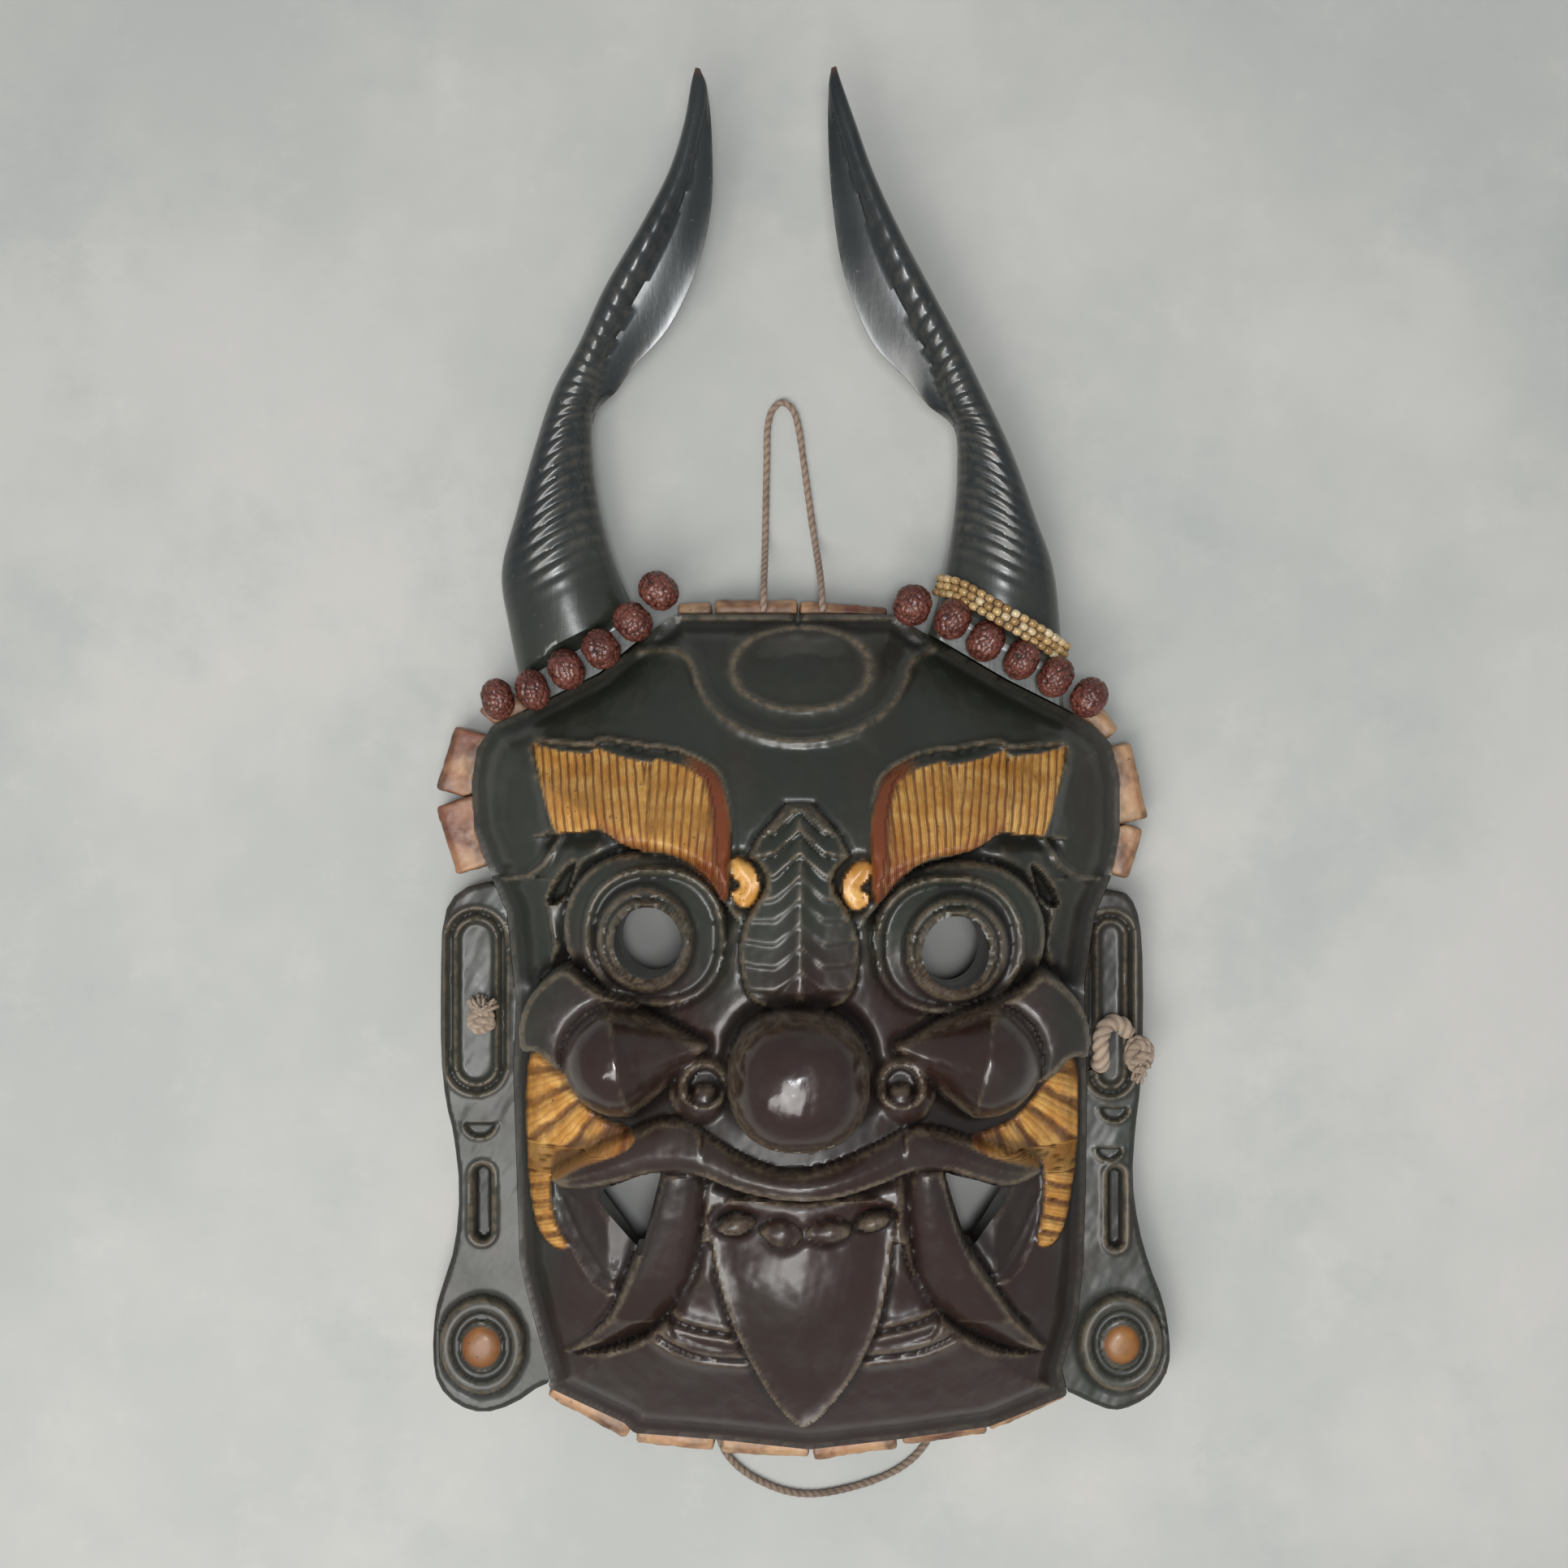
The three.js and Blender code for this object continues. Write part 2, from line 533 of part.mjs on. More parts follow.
// ---- the horns ----
// Each station: outer edge x y, inner edge x y, middle height, half thickness, share of the width that is rib.
const HORNS = {
  left: [
    [-107, 22, -58, 54, 24, 18, 1], [-115, 61, -70.5, 80, 26, 17.5, 1], [-118, 84, -78, 104, 28, 16, 1],
    [-112, 107, -81.5, 126, 31, 13.5, 1], [-104.5, 132, -81, 145, 34, 11.5, 0.98],
    [-97, 153.5, -72, 155, 36.5, 10.5, 0.75], [-86.5, 172.5, -65.5, 163.5, 39, 9.5, 0.55],
    [-76.5, 193.5, -51.5, 179, 41, 8.5, 0.45], [-62.5, 216.5, -40.5, 201, 44, 7.5, 0.42],
    [-51.5, 237, -35, 224, 46, 6, 0.46], [-45.5, 255, -34.6, 248, 48, 4.5, 0.6],
    [-42.6, 270, -36.2, 267.5, 49.5, 2.6, 0.95], [-41, 276, -39, 275.5, 50, 0.8, 1],
  ],
  right: [
    [104, 20, 49, 56, 24, 18, 1], [102, 62, 55.5, 80, 26, 17.5, 1], [99, 86, 59.5, 103, 28, 16, 1],
    [92, 105, 61, 124, 31, 13.5, 1], [83, 129, 59.5, 140.5, 34, 11.5, 0.98],
    [72.5, 151, 49.5, 149, 36.5, 10.5, 0.75], [62.5, 170.5, 40, 159.5, 39, 9.5, 0.55],
    [51.5, 190.5, 27, 173.5, 41, 8.5, 0.45], [38.5, 214, 16.5, 198, 44, 7.5, 0.42],
    [28, 236, 12, 224, 46, 6, 0.46], [20.5, 256, 10.2, 248, 48, 4.5, 0.6],
    [15, 271, 10.2, 268, 49.5, 2.6, 0.95], [13.2, 276.5, 11.2, 275.8, 50, 0.8, 1],
  ],
};
const HORN_STEPS = 20;
const HORN_SIDES = 10;
const BLADE = 2.4; // half thickness of the blade where it leaves the rib

function hornRing(stations, t) {
  // the section at t, from 0 at the foot to 1 at the tip
  const [ox, oy, ix, iy, mid, thick, rib] = [0, 1, 2, 3, 4, 5, 6].map((k) => spline(stations.map((s) => s[k]), t));
  const bladed = rib < 0.97;
  const half = (s, full) => {
    const onRib = s < rib ? full * round((2 * s) / rib - 1) : 0;
    const out = bladed ? clamp01((s - rib) / (1 - rib)) : 0;
    const onBlade = bladed && s >= rib / 2 ? BLADE * (1 - 0.75 * out) * (thick / 9) : 0;
    return Math.max(onRib, onBlade, 0.05);
  };
  const ring = [];
  for (let i = 0; i < HORN_SIDES; i++) {
    const a = (2 * Math.PI * i) / HORN_SIDES;
    const s = (1 - Math.cos(a)) / 2;
    const up = Math.sin(a) >= -1e-9;
    const end = i === 0 || 2 * i === HORN_SIDES;
    const h = end ? 0 : half(s, up ? thick : thick * 0.85);
    const back = bladed ? 2 * smooth(rib, 1, s) : 0;
    ring.push([ox + (ix - ox) * s, oy + (iy - oy) * s, mid + (up ? h : -h) - back]);
  }
  return ring;
}

function horn(name, side) {
  const rings = [];
  for (let k = 0; k <= HORN_STEPS; k++) rings.push(hornRing(HORNS[name], k / HORN_STEPS));
  if (side.sign > 0) for (const ring of rings) ring.reverse();
  return loft(rings).subtract(faceWall).subtract(routes[name]).subtract(shelf(SEEDS[name]));
}

// ---- three strings of glass seed beads on a strap round the foot of the right horn ----
const BAND = [
  [53.5, 79, 31], [61, 76.5, 38.8], [69, 71.5, 43], [78, 66, 44.8], [87, 61, 43.6], [96, 56, 39], [103, 52, 31.5],
];
const BAND_HALF = 4.1; // half the width of the strap
const BAND_THICK = 1.2; // half its thickness
const BAND_ROWS = [-2.9, 0, 2.9];
const BAND_BEADS = 13;
const BAND_BEAD = new THREE.Vector3(2.8, 1.6, 2.1); // half sizes of a bead along, across and out

function bandFrame(u) {
  // a point of the strap's middle line, with the directions across the strap and out of the horn
  const curve = new THREE.CatmullRomCurve3(BAND.map((p) => new THREE.Vector3(...p)));
  const along = curve.getTangentAt(u);
  const out = new THREE.Vector3(0, 0, 1).addScaledVector(along, -along.z).normalize();
  return { at: curve.getPointAt(u), out, across: along.clone().cross(out) };
}

function strap(grow) {
  const rings = [];
  for (let k = 0; k <= 10; k++) {
    const { at, out, across } = bandFrame(k / 10);
    const corner = (a, b) => at.clone().addScaledVector(across, a).addScaledVector(out, b).toArray();
    const [w, h] = [BAND_HALF + grow, BAND_THICK + grow];
    rings.push([corner(-w, -h), corner(-w, h), corner(w, h), corner(w, -h)]);
  }
  return loft(rings);
}

function seedBand() {
  let band = strap(0);
  BAND_ROWS.forEach((row, r) => {
    for (let k = 0; k < BAND_BEADS; k++) {
      const { at, out, across } = bandFrame((k + 0.5 + (r % 2) * 0.3) / (BAND_BEADS + 0.3));
      const along = across.clone().cross(out);
      const g = new THREE.OctahedronGeometry(1, 0);
      g.rotateZ(Math.PI / 4);
      g.applyMatrix4(new THREE.Matrix4().makeBasis(along, across, out).scale(BAND_BEAD));
      g.translate(...at.addScaledVector(across, row).addScaledVector(out, BAND_THICK - GAP).toArray());
      band = band.add(solid(g));
    }
  });
  return band.subtract(routes.right);
}

// ---- the ears: flat boards with sunk rings and a raised ear disc ----
// clear: how far a cut reaches past the board; line: width of the oval's sunk line
const EAR = { low: 6, high: 26, discRise: 4, studRise: 2, groove: 2, clear: 9, line: 2.6 };
const EARS = {
  left: {
    outline: [
      [-95, -37], [-121.5, -37], [-135.5, -40.5], [-142, -51], [-142.7, -77], [-142.7, -105], [-140.6, -125.5],
      [-137.4, -137.5], [-135, -159.5], [-136.8, -181.5], [-142, -197.5], [-145, -207.5], [-146, -225],
      [-144, -237], [-136, -245], [-126, -248], [-114, -244.5], [-102, -236], [-95, -236],
    ],
    oval: [-128.4, -85, 12.4, 37], moons: [[-127, -133, 6]], slot: [-126, -164.5, 3.7, 15],
    disc: [-126, -220.5, 17, 19.5], stud: 7, hole: [-125.5, -91, 3.2],
  },
  right: {
    outline: [
      [95, -40.5], [127, -40.5], [132.5, -47], [134.8, -60], [135.3, -90.5], [134.2, -118.5], [132, -135.5],
      [130.7, -155.5], [133.2, -174], [137.7, -190], [143.3, -203.5], [145.7, -218], [145.7, -229.5],
      [140.5, -239], [131.5, -245], [123, -247], [114, -243.5], [105, -239], [95, -236],
    ],
    oval: [122, -86, 9.8, 37], moons: [[123.5, -127, 5.5], [121.5, -143, 5]], slot: [124, -166.5, 3.2, 16],
    disc: [126, -219.5, 16.6, 19.3], stud: 6.5, hole: [118, -109.5, 3.8],
  },
};

function stadium(cx, cy, rx, ry, steps) {
  // a slot shape with round ends
  const points = [];
  for (let k = 0; k <= steps; k++) {
    const a = (Math.PI * k) / steps;
    points.push([cx + rx * Math.cos(a), cy + (ry - rx) + rx * Math.sin(a)]);
  }
  return [...points, ...points.map(([x, y]) => [2 * cx - x, 2 * cy - y])];
}

function ellipse(cx, cy, rx, ry, steps) {
  return Array.from({ length: steps }, (_, k) => {
    const a = (2 * Math.PI * k) / steps;
    return [cx + rx * Math.cos(a), cy + ry * Math.sin(a)];
  });
}

function ring(outer, innerEdge, low, high) {
  return prism(outer, low, high).subtract(prism(innerEdge, low - 1, high + 1));
}

function ear(spec) {
  const { high, discRise, studRise, groove, clear, line } = EAR;
  const [ox, oy, orx, ory] = spec.oval;
  const [dx, dy, drx, dry] = spec.disc;
  const [sx, sy, srx, sry] = spec.slot;
  const [hx, hy, hr] = spec.hole;
  let board = prism(spec.outline, EAR.low, high);
  board = board.add(prism(ellipse(dx, dy, drx, dry, 20), EAR.low + 2, high + discRise));
  board = board.subtract(faceWall);
  const flat = high + discRise;
  const [moat, island] = [ellipse(dx, dy, drx - 3, dry - 3.4, 16), ellipse(dx, dy, spec.stud + 2.5, spec.stud + 3.5, 12)];
  board = board.subtract(ring(moat, island, flat - groove, flat + clear));
  board = board.add(prism(ellipse(dx, dy, spec.stud, spec.stud * 1.08, 12), high, flat + studRise));
  const [oval, inner] = [stadium(ox, oy, orx, ory, 6), stadium(ox, oy, orx - line, ory - line, 6)];
  board = board.subtract(ring(oval, inner, high - groove, high + clear));
  board = board.subtract(prism(stadium(sx, sy, srx, sry, 4), high - 3 * groove, high + clear));
  for (const [mx, my, mr] of spec.moons) {
    const moon = ellipse(mx, my, mr, mr * 0.9, 12).filter(([, y]) => y <= my + 0.01);
    board = board.subtract(prism(moon, high - groove, high + clear));
  }
  return board.subtract(prism(ellipse(hx, hy, hr, hr, 10), -20, 90));
}

// ---- the rope ties in the ears ----
function tieLeft() {
  const [hx, hy, hr] = EARS.left.hole;
  const knot = new THREE.IcosahedronGeometry(6.6, 1);
  knot.scale(0.95, 1, 0.75);
  knot.translate(hx, hy + 0.5, EAR.high + GAP + 4.8);
  const petals = new THREE.IcosahedronGeometry(4.6, 1);
  petals.scale(1.45, 0.8, 0.8);
  petals.translate(hx, hy + 6.5, EAR.high + GAP + 4.4);
  const stub = prism(ellipse(hx, hy, hr - GAP, hr - GAP, 8), EAR.low + 1, EAR.high + 3);
  return solid(knot).add(solid(petals)).add(stub);
}

function tieRight() {
  const [hx, hy] = EARS.right.hole;
  const rope = new THREE.CatmullRomCurve3([
    [hx, hy, 8], [hx, hy, 18], [hx, hy, 27], [hx - 0.3, hy + 4, 31], [hx - 0.5, hy + 11, 31.5],
    [hx + 2.5, hy + 16.5, 31.5], [hx + 7.5, hy + 16, 31.5], [hx + 11, hy + 11, 32],
  ].map((p) => new THREE.Vector3(...p)));
  const knot = new THREE.IcosahedronGeometry(7, 1);
  knot.scale(0.95, 1.35, 0.85);
  knot.translate(hx + 14.5, hy + 4.5, EAR.high + GAP + 6);
  return tube(rope, 3.3, 8, 11).add(solid(knot));
}

// ---- the bone plates round the rim: outer edge from and to, and height ----
const PLATES = {
  top_1: [-49.5, 73.2, -35.8, 73.8], top_2: [-34.6, 74.4, -1.4, 74.6], top_3: [-0.4, 74.3, 34.5, 71.5],
  right_1: [117, 35.5, 127, 23], right_2: [131.5, 18, 138.3, -12.5], right_3: [136.5, -17, 130.5, -37],
  bottom_6: [105.5, -243.5, 75.5, -256.8], bottom_5: [74, -257.8, 40.5, -262.5],
  bottom_4: [38.5, -264, 5, -268.6], bottom_3: [3, -267.6, -32, -265.6], bottom_2: [-35, -265, -66, -261.5],
  bottom_1: [-70, -260, -101.5, -243], left_3: [-137.5, -35.5, -146, -8], left_2: [-145.6, -1, -138, 24.5],
  left_1: [-128.8, 30, -119.5, 41],
};
const PLATE = { low: 5, high: 21, deep: 19, chamfer: 2.2, bevel: 0.9 };

function plateBlock([x1, y1, x2, y2]) {
  // the room that a plate takes up, which its neighbour keeps clear of
  const [ux, uy] = [x2 - x1, y2 - y1].map((v) => v / Math.hypot(x2 - x1, y2 - y1));
  const far = PLATE.deep + 5;
  return prism([
    [x1 - ux * GAP, y1 - uy * GAP], [x2 + ux * GAP, y2 + uy * GAP],
    [x2 + ux * GAP + uy * far, y2 + uy * GAP - ux * far], [x1 - ux * GAP + uy * far, y1 - uy * GAP - ux * far],
  ].reverse(), 0, 90);
}

function plate([x1, y1, x2, y2]) {
  const long = Math.hypot(x2 - x1, y2 - y1);
  const { low, high, deep, chamfer, bevel } = PLATE;
  const section = new THREE.Shape();
  section.moveTo(bevel + chamfer, low + bevel);
  section.lineTo(deep, low + bevel);
  section.lineTo(deep, high - bevel);
  section.lineTo(bevel + chamfer, high - bevel);
  section.lineTo(bevel, high - bevel - chamfer);
  section.lineTo(bevel, low + bevel + chamfer);
  const g = new THREE.ExtrudeGeometry(section, {
    depth: long - 2 * bevel, bevelEnabled: true, bevelThickness: bevel, bevelSize: bevel, bevelSegments: 1,
  });
  // the section's x runs into the block, its y up, and the extrusion along the edge
  g.translate(0, 0, bevel);
  const back = new THREE.Vector3(x1 - x2, y1 - y2, 0).normalize();
  const up = new THREE.Vector3(0, 0, 1);
  const into = up.clone().cross(back);
  g.applyMatrix4(new THREE.Matrix4().makeBasis(into, up, back));
  g.translate(x2, y2, 0);
  return solid(g).subtract(faceWall);
}

// ---- the cords, lying on what the mask lies on ----
const CORD_HANG = {
  diameter: 2.8,
  points: [
    [-15, 68.6, 24.2], [-15, 72, 24.3], [-14.9, 77, 22.5], [-14.8, 84, 16.5], [-14.6, 91, 9.5], [-14.5, 98, 4],
    [-14.4, 106, 1.9], [-14.2, 118, 1.8], [-13.9, 132, 1.8], [-13.6, 145, 1.8], [-11.7, 152.5, 1.8],
    [-7.6, 155.8, 1.8], [-3.2, 152.5, 1.8], [-0.9, 145, 1.8], [1, 132, 1.8], [2.9, 118, 1.8], [4.6, 106, 1.9],
    [5.8, 98, 4], [6.8, 91, 9.5], [7.6, 84, 16.5], [8.1, 77, 22.5], [8.3, 72, 24.3], [8.3, 68.6, 24.2],
  ],
};
const CORD_CHIN = {
  diameter: 3,
  points: [
    [-34, -258.1, 1.6], [-33.6, -262, 1.6], [-32, -267.5, 1.6], [-28, -273.5, 1.6], [-22.4, -278.4, 1.6],
    [-15, -282.6, 1.6], [-6.6, -285.8, 1.6], [2, -287.1, 1.6], [10, -286.6, 1.6], [18, -285, 1.6],
    [26, -282.8, 1.6], [34, -279.8, 1.6], [41, -276, 1.6], [47, -271, 1.6], [51.5, -265, 1.6],
    [53.6, -260, 1.6], [54, -256, 1.6],
  ],
};

function cord({ diameter, points }, steps) {
  const path = new THREE.CatmullRomCurve3(points.map((p) => new THREE.Vector3(...p)));
  return tube(path, diameter / 2, 8, steps);
}

// ---- the mask ----
piece('ear_left', ear(EARS.left), EAR_WOOD);
piece('ear_right', ear(EARS.right), EAR_WOOD);
piece('horn_left', horn('left', SIDES.left), HORN);
piece('horn_right', horn('right', SIDES.right).subtract(strap(GAP)), HORN);
piece('seed_band', seedBand(), GLASS);
for (const name of ['left', 'right']) {
  SEEDS[name].forEach((_, k) => piece(`bead_${name}_${k + 1}`, seed(SEEDS[name], k), SEED));
}
Object.entries(PLATES).forEach(([name, edge], k, all) => {
  const body = plate(edge);
  piece(`plate_${name}`, k ? body.subtract(plateBlock(all[k - 1][1])) : body, BONE);
});
piece('tie_left', tieLeft(), JUTE);
piece('tie_right', tieRight(), JUTE);
piece('cord_hang', cord(CORD_HANG, 27), STRING, cords);
piece('cord_chin', cord(CORD_CHIN, 15), STRING, cords);

// The origin is under the middle of the mask, measured without its cords.
const box = new THREE.Box3().setFromObject(mask);
const middle = box.getCenter(new THREE.Vector3());
mask.add(cords);
mask.position.set(-middle.x, -middle.y, -box.min.z);

export default mask;
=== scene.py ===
"""A carved wooden cham mask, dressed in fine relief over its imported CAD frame.

Shapes are worked out in millimetres on the part's own plan and moved into the frame, in metres.
+X is the viewer's right, +Y is towards the horns, +Z is out of the face.
"""
import json
import math

import bmesh
import bpy
import numpy as np
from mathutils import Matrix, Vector, noise

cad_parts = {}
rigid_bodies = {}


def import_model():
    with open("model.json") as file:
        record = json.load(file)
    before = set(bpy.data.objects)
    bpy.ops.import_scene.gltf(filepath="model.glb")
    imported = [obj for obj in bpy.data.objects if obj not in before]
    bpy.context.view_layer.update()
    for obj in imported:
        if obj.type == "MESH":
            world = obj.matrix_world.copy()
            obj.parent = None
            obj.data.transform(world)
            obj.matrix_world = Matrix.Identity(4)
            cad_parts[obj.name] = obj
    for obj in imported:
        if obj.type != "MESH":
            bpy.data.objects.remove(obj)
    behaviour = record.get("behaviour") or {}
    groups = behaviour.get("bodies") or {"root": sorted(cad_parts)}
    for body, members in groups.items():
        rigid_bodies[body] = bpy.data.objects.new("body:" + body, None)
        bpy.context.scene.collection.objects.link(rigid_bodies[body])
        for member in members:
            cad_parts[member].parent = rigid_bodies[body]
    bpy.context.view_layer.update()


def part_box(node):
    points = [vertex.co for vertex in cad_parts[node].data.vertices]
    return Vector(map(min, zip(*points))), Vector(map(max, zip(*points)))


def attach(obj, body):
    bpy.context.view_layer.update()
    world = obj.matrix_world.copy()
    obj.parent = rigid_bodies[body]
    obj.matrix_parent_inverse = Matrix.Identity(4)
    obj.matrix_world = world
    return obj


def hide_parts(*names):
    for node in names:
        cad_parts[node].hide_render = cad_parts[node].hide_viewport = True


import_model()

MM = 0.001

# ---- the plan's place in the frame ----
face_low, face_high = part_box("face")
PLAN_LEFT, PLAN_TOP = -130.0, 68.0  # the face outline's own limits on the plan
OFFSET = np.array([face_low[0] / MM - PLAN_LEFT, face_high[1] / MM - PLAN_TOP, 0.0])


def metres(points):
    return (np.asarray(points, float) + OFFSET) * MM


# ---- camera: over the mask, looking straight down ----
CAMERA = (-6.9, 1.0, 900.0)
LENS = 50.82  # millimetres, on a 36 mm sensor
cam_data = bpy.data.cameras.new("camera")
cam_data.lens = LENS
cam_data.sensor_width = 36.0
cam_data.clip_start, cam_data.clip_end = 0.01, 20.0
camera = bpy.data.objects.new("camera", cam_data)
camera.location = metres(CAMERA)
bpy.context.scene.collection.objects.link(camera)
bpy.context.scene.camera = camera


# ---- mesh building ----
def build(name, verts, faces, attributes=None, smooth=True, sharp=None):
    """A mesh object from points in millimetres on the plan, with named point attributes."""
    me = bpy.data.meshes.new(name)
    me.from_pydata(metres(verts).tolist(), [], [tuple(f) for f in faces])
    for key, values in (attributes or {}).items():
        a = me.attributes.new(key, "FLOAT", "POINT")
        a.data.foreach_set("value", np.asarray(values, np.float32))
    me.polygons.foreach_set("use_smooth", [smooth] * len(me.polygons))
    if sharp is not None:
        me.set_sharp_from_angle(angle=math.radians(sharp))
    me.validate()
    me.update()
    obj = bpy.data.objects.new(name, me)
    bpy.context.scene.collection.objects.link(obj)
    return obj


def finish_piece(obj, material, slot, *nodes):
    obj.data.materials.append(material)
    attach(obj, "root")
    if nodes:
        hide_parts(*nodes)
    return obj


def tube_faces(rings, sides, closed=False):
    faces = []
    for k in range(rings if closed else rings - 1):
        for i in range(sides):
            a, b = k * sides + i, k * sides + (i + 1) % sides
            c = ((k + 1) % rings) * sides
            faces.append((a, b, c + (i + 1) % sides, c + i))
    return faces


def resample(points, spacing):
    """Points evenly spaced along a smooth curve through the given ones."""
    p = np.asarray(points, float)
    ext = np.vstack([2 * p[0] - p[1], p, 2 * p[-1] - p[-2]])
    out = []
    for i in range(1, len(ext) - 2):
        a, b, c, d = ext[i - 1 : i + 3]
        t = np.linspace(0, 1, 24, endpoint=False)[:, None]
        square, cube = 2 * a - 5 * b + 4 * c - d, 3 * b - a - 3 * c + d
        out.append(0.5 * (2 * b + (c - a) * t + square * t**2 + cube * t**3))
    out = np.vstack(out + [p[-1:]])
    along = np.concatenate([[0], np.cumsum(np.linalg.norm(np.diff(out, axis=0), axis=1))])
    n = max(3, int(round(along[-1] / spacing)) + 1)
    s = np.linspace(0, along[-1], n)
    return np.column_stack([np.interp(s, along, out[:, k]) for k in range(out.shape[1])]), along[-1]


def sweep_frames(path):
    """Tangent and two even side directions at each point of a path."""
    t = np.gradient(path, axis=0)
    t /= np.linalg.norm(t, axis=1)[:, None]
    side = np.cross(t[0], [0, 0, 1.0])
    if np.linalg.norm(side) < 1e-3:
        side = np.cross(t[0], [0, 1.0, 0])
    u = [side / np.linalg.norm(side)]
    for k in range(1, len(t)):
        v = u[-1] - t[k] * np.dot(u[-1], t[k])
        u.append(v / np.linalg.norm(v))
    u = np.array(u)
    return t, u, np.cross(t, u)


def rope(points, radius, strands, turn, spacing, sides=20, lump=0.16, seed=0):
    """A laid rope or cord: one tube whose section turns along it. Returns verts, faces, attributes, path."""
    path, length = resample(points, spacing)
    _, u, v = sweep_frames(path)
    s = np.linspace(0, length, len(path))
    a = np.linspace(0, 2 * np.pi, sides, endpoint=False)
    rng = np.random.default_rng(seed)
    wobble = 1 + 0.03 * np.interp(s, np.linspace(0, length, 40), rng.standard_normal(40))
    phase = strands * (a[None, :] - 2 * np.pi * s[:, None] / turn)
    groove = np.abs(np.cos(phase / 2)) ** 0.7
    r = radius * wobble[:, None] * (1 - lump + lump * groove)
    ends = np.clip(np.minimum(s, length - s) / (0.6 * radius), 0.02, 1) ** 0.5
    r = r * ends[:, None]
    spokes = np.cos(a)[None, :, None] * u[:, None] + np.sin(a)[None, :, None] * v[:, None]
    verts = path[:, None, :] + r[..., None] * spokes
    verts = verts.reshape(-1, 3)
    faces = tube_faces(len(path), sides)
    faces.append(tuple(range(sides - 1, -1, -1)))
    faces.append(tuple(range((len(path) - 1) * sides, len(path) * sides)))
    lay = (phase / (2 * np.pi)).reshape(-1)
    attributes = {
        "along": np.repeat(s, sides),
        "lay": lay,
        "groove": (1 - groove).reshape(-1),
    }
    return verts, faces, attributes, path, length


# ---- materials ----
class Nodes:
    """A short way to write a procedural material."""

    def __init__(self, name):
        self.material = bpy.data.materials.new(name)
        self.material.use_nodes = True
        self.tree = self.material.node_tree
        self.tree.nodes.clear()
        self.shader = self.new("ShaderNodeBsdfPrincipled")
        out = self.new("ShaderNodeOutputMaterial")
        self.link(self.shader.outputs[0], out.inputs["Surface"])

    def new(self, kind, **settings):
        n = self.tree.nodes.new(kind)
        for k, v in settings.items():
            setattr(n, k, v)
        return n

    def link(self, a, b):
        self.tree.links.new(a, b)

    def put(self, socket, value):
        if hasattr(value, "is_linked") or isinstance(value, bpy.types.NodeSocket):
            self.link(value, socket)
        else:
            socket.default_value = value

    def attribute(self, name):
        return self.new("ShaderNodeAttribute", attribute_name=name).outputs["Fac"]

    def coords(self, scale=(1, 1, 1)):
        c = self.new("ShaderNodeTexCoord").outputs["Object"]
        if tuple(scale) == (1, 1, 1):
            return c
        m = self.new("ShaderNodeMapping")
        m.inputs["Scale"].default_value = scale
        self.link(c, m.inputs["Vector"])
        return m.outputs["Vector"]

    def noise(self, scale, detail=4.0, rough=0.55, vector=None):
        n = self.new("ShaderNodeTexNoise")
        n.inputs["Scale"].default_value = scale
        n.inputs["Detail"].default_value = detail
        n.inputs["Roughness"].default_value = rough
        self.link(vector if vector is not None else self.coords(), n.inputs["Vector"])
        return n.outputs["Fac"]

    def ramp(self, value, low, high):
        """0 at low, 1 at high, smooth between."""
        n = self.new("ShaderNodeMapRange", interpolation_type="SMOOTHSTEP")
        self.link(value, n.inputs["Value"])
        n.inputs["From Min"].default_value = low
        n.inputs["From Max"].default_value = high
        return n.outputs["Result"]

    def math(self, op, a, b=0.0, clamp=False):
        n = self.new("ShaderNodeMath", operation=op, use_clamp=clamp)
        self.put(n.inputs[0], a)
        self.put(n.inputs[1], b)
        return n.outputs[0]

    def times(self, a, b):
        return self.math("MULTIPLY", a, b)

    def plus(self, a, b):
        return self.math("ADD", a, b)

    def mix(self, fac, a, b):
        n = self.new("ShaderNodeMix", data_type="RGBA", clamp_factor=True)
        self.put(n.inputs["Factor"], fac)
        for key, value in (("A", a), ("B", b)):
            socket = [i for i in n.inputs if i.name == key and i.type == "RGBA"][0]
            self.put(socket, (*value, 1.0) if isinstance(value, tuple) else value)
        return [o for o in n.outputs if o.type == "RGBA"][0]

    def bump(self, height, strength, distance, normal=None):
        n = self.new("ShaderNodeBump")
        n.inputs["Strength"].default_value = strength
        n.inputs["Distance"].default_value = distance
        self.put(n.inputs["Height"], height)
        if normal is not None:
            self.link(normal, n.inputs["Normal"])
        return n.outputs["Normal"]

    def finish(self, color, roughness, normal=None, coat=0.0, coat_roughness=0.2, specular=0.5, sheen=0.0):
        s = self.shader
        self.put(s.inputs["Base Color"], (*color, 1.0) if isinstance(color, tuple) else color)
        self.put(s.inputs["Roughness"], roughness)
        s.inputs["Coat Weight"].default_value = coat
        s.inputs["Coat Roughness"].default_value = coat_roughness
        s.inputs["Specular IOR Level"].default_value = specular
        s.inputs["Sheen Weight"].default_value = sheen
        if normal is not None:
            self.link(normal, s.inputs["Normal"])
        return self.material


GREEN_BLACK = (0.020, 0.023, 0.017)
RED_BLACK = (0.024, 0.0105, 0.0085)
WORN = (0.17, 0.13, 0.085)
GOLD = (0.50, 0.22, 0.035)
GOLD_LIGHT = (0.72, 0.42, 0.12)
RUST = (0.17, 0.038, 0.009)


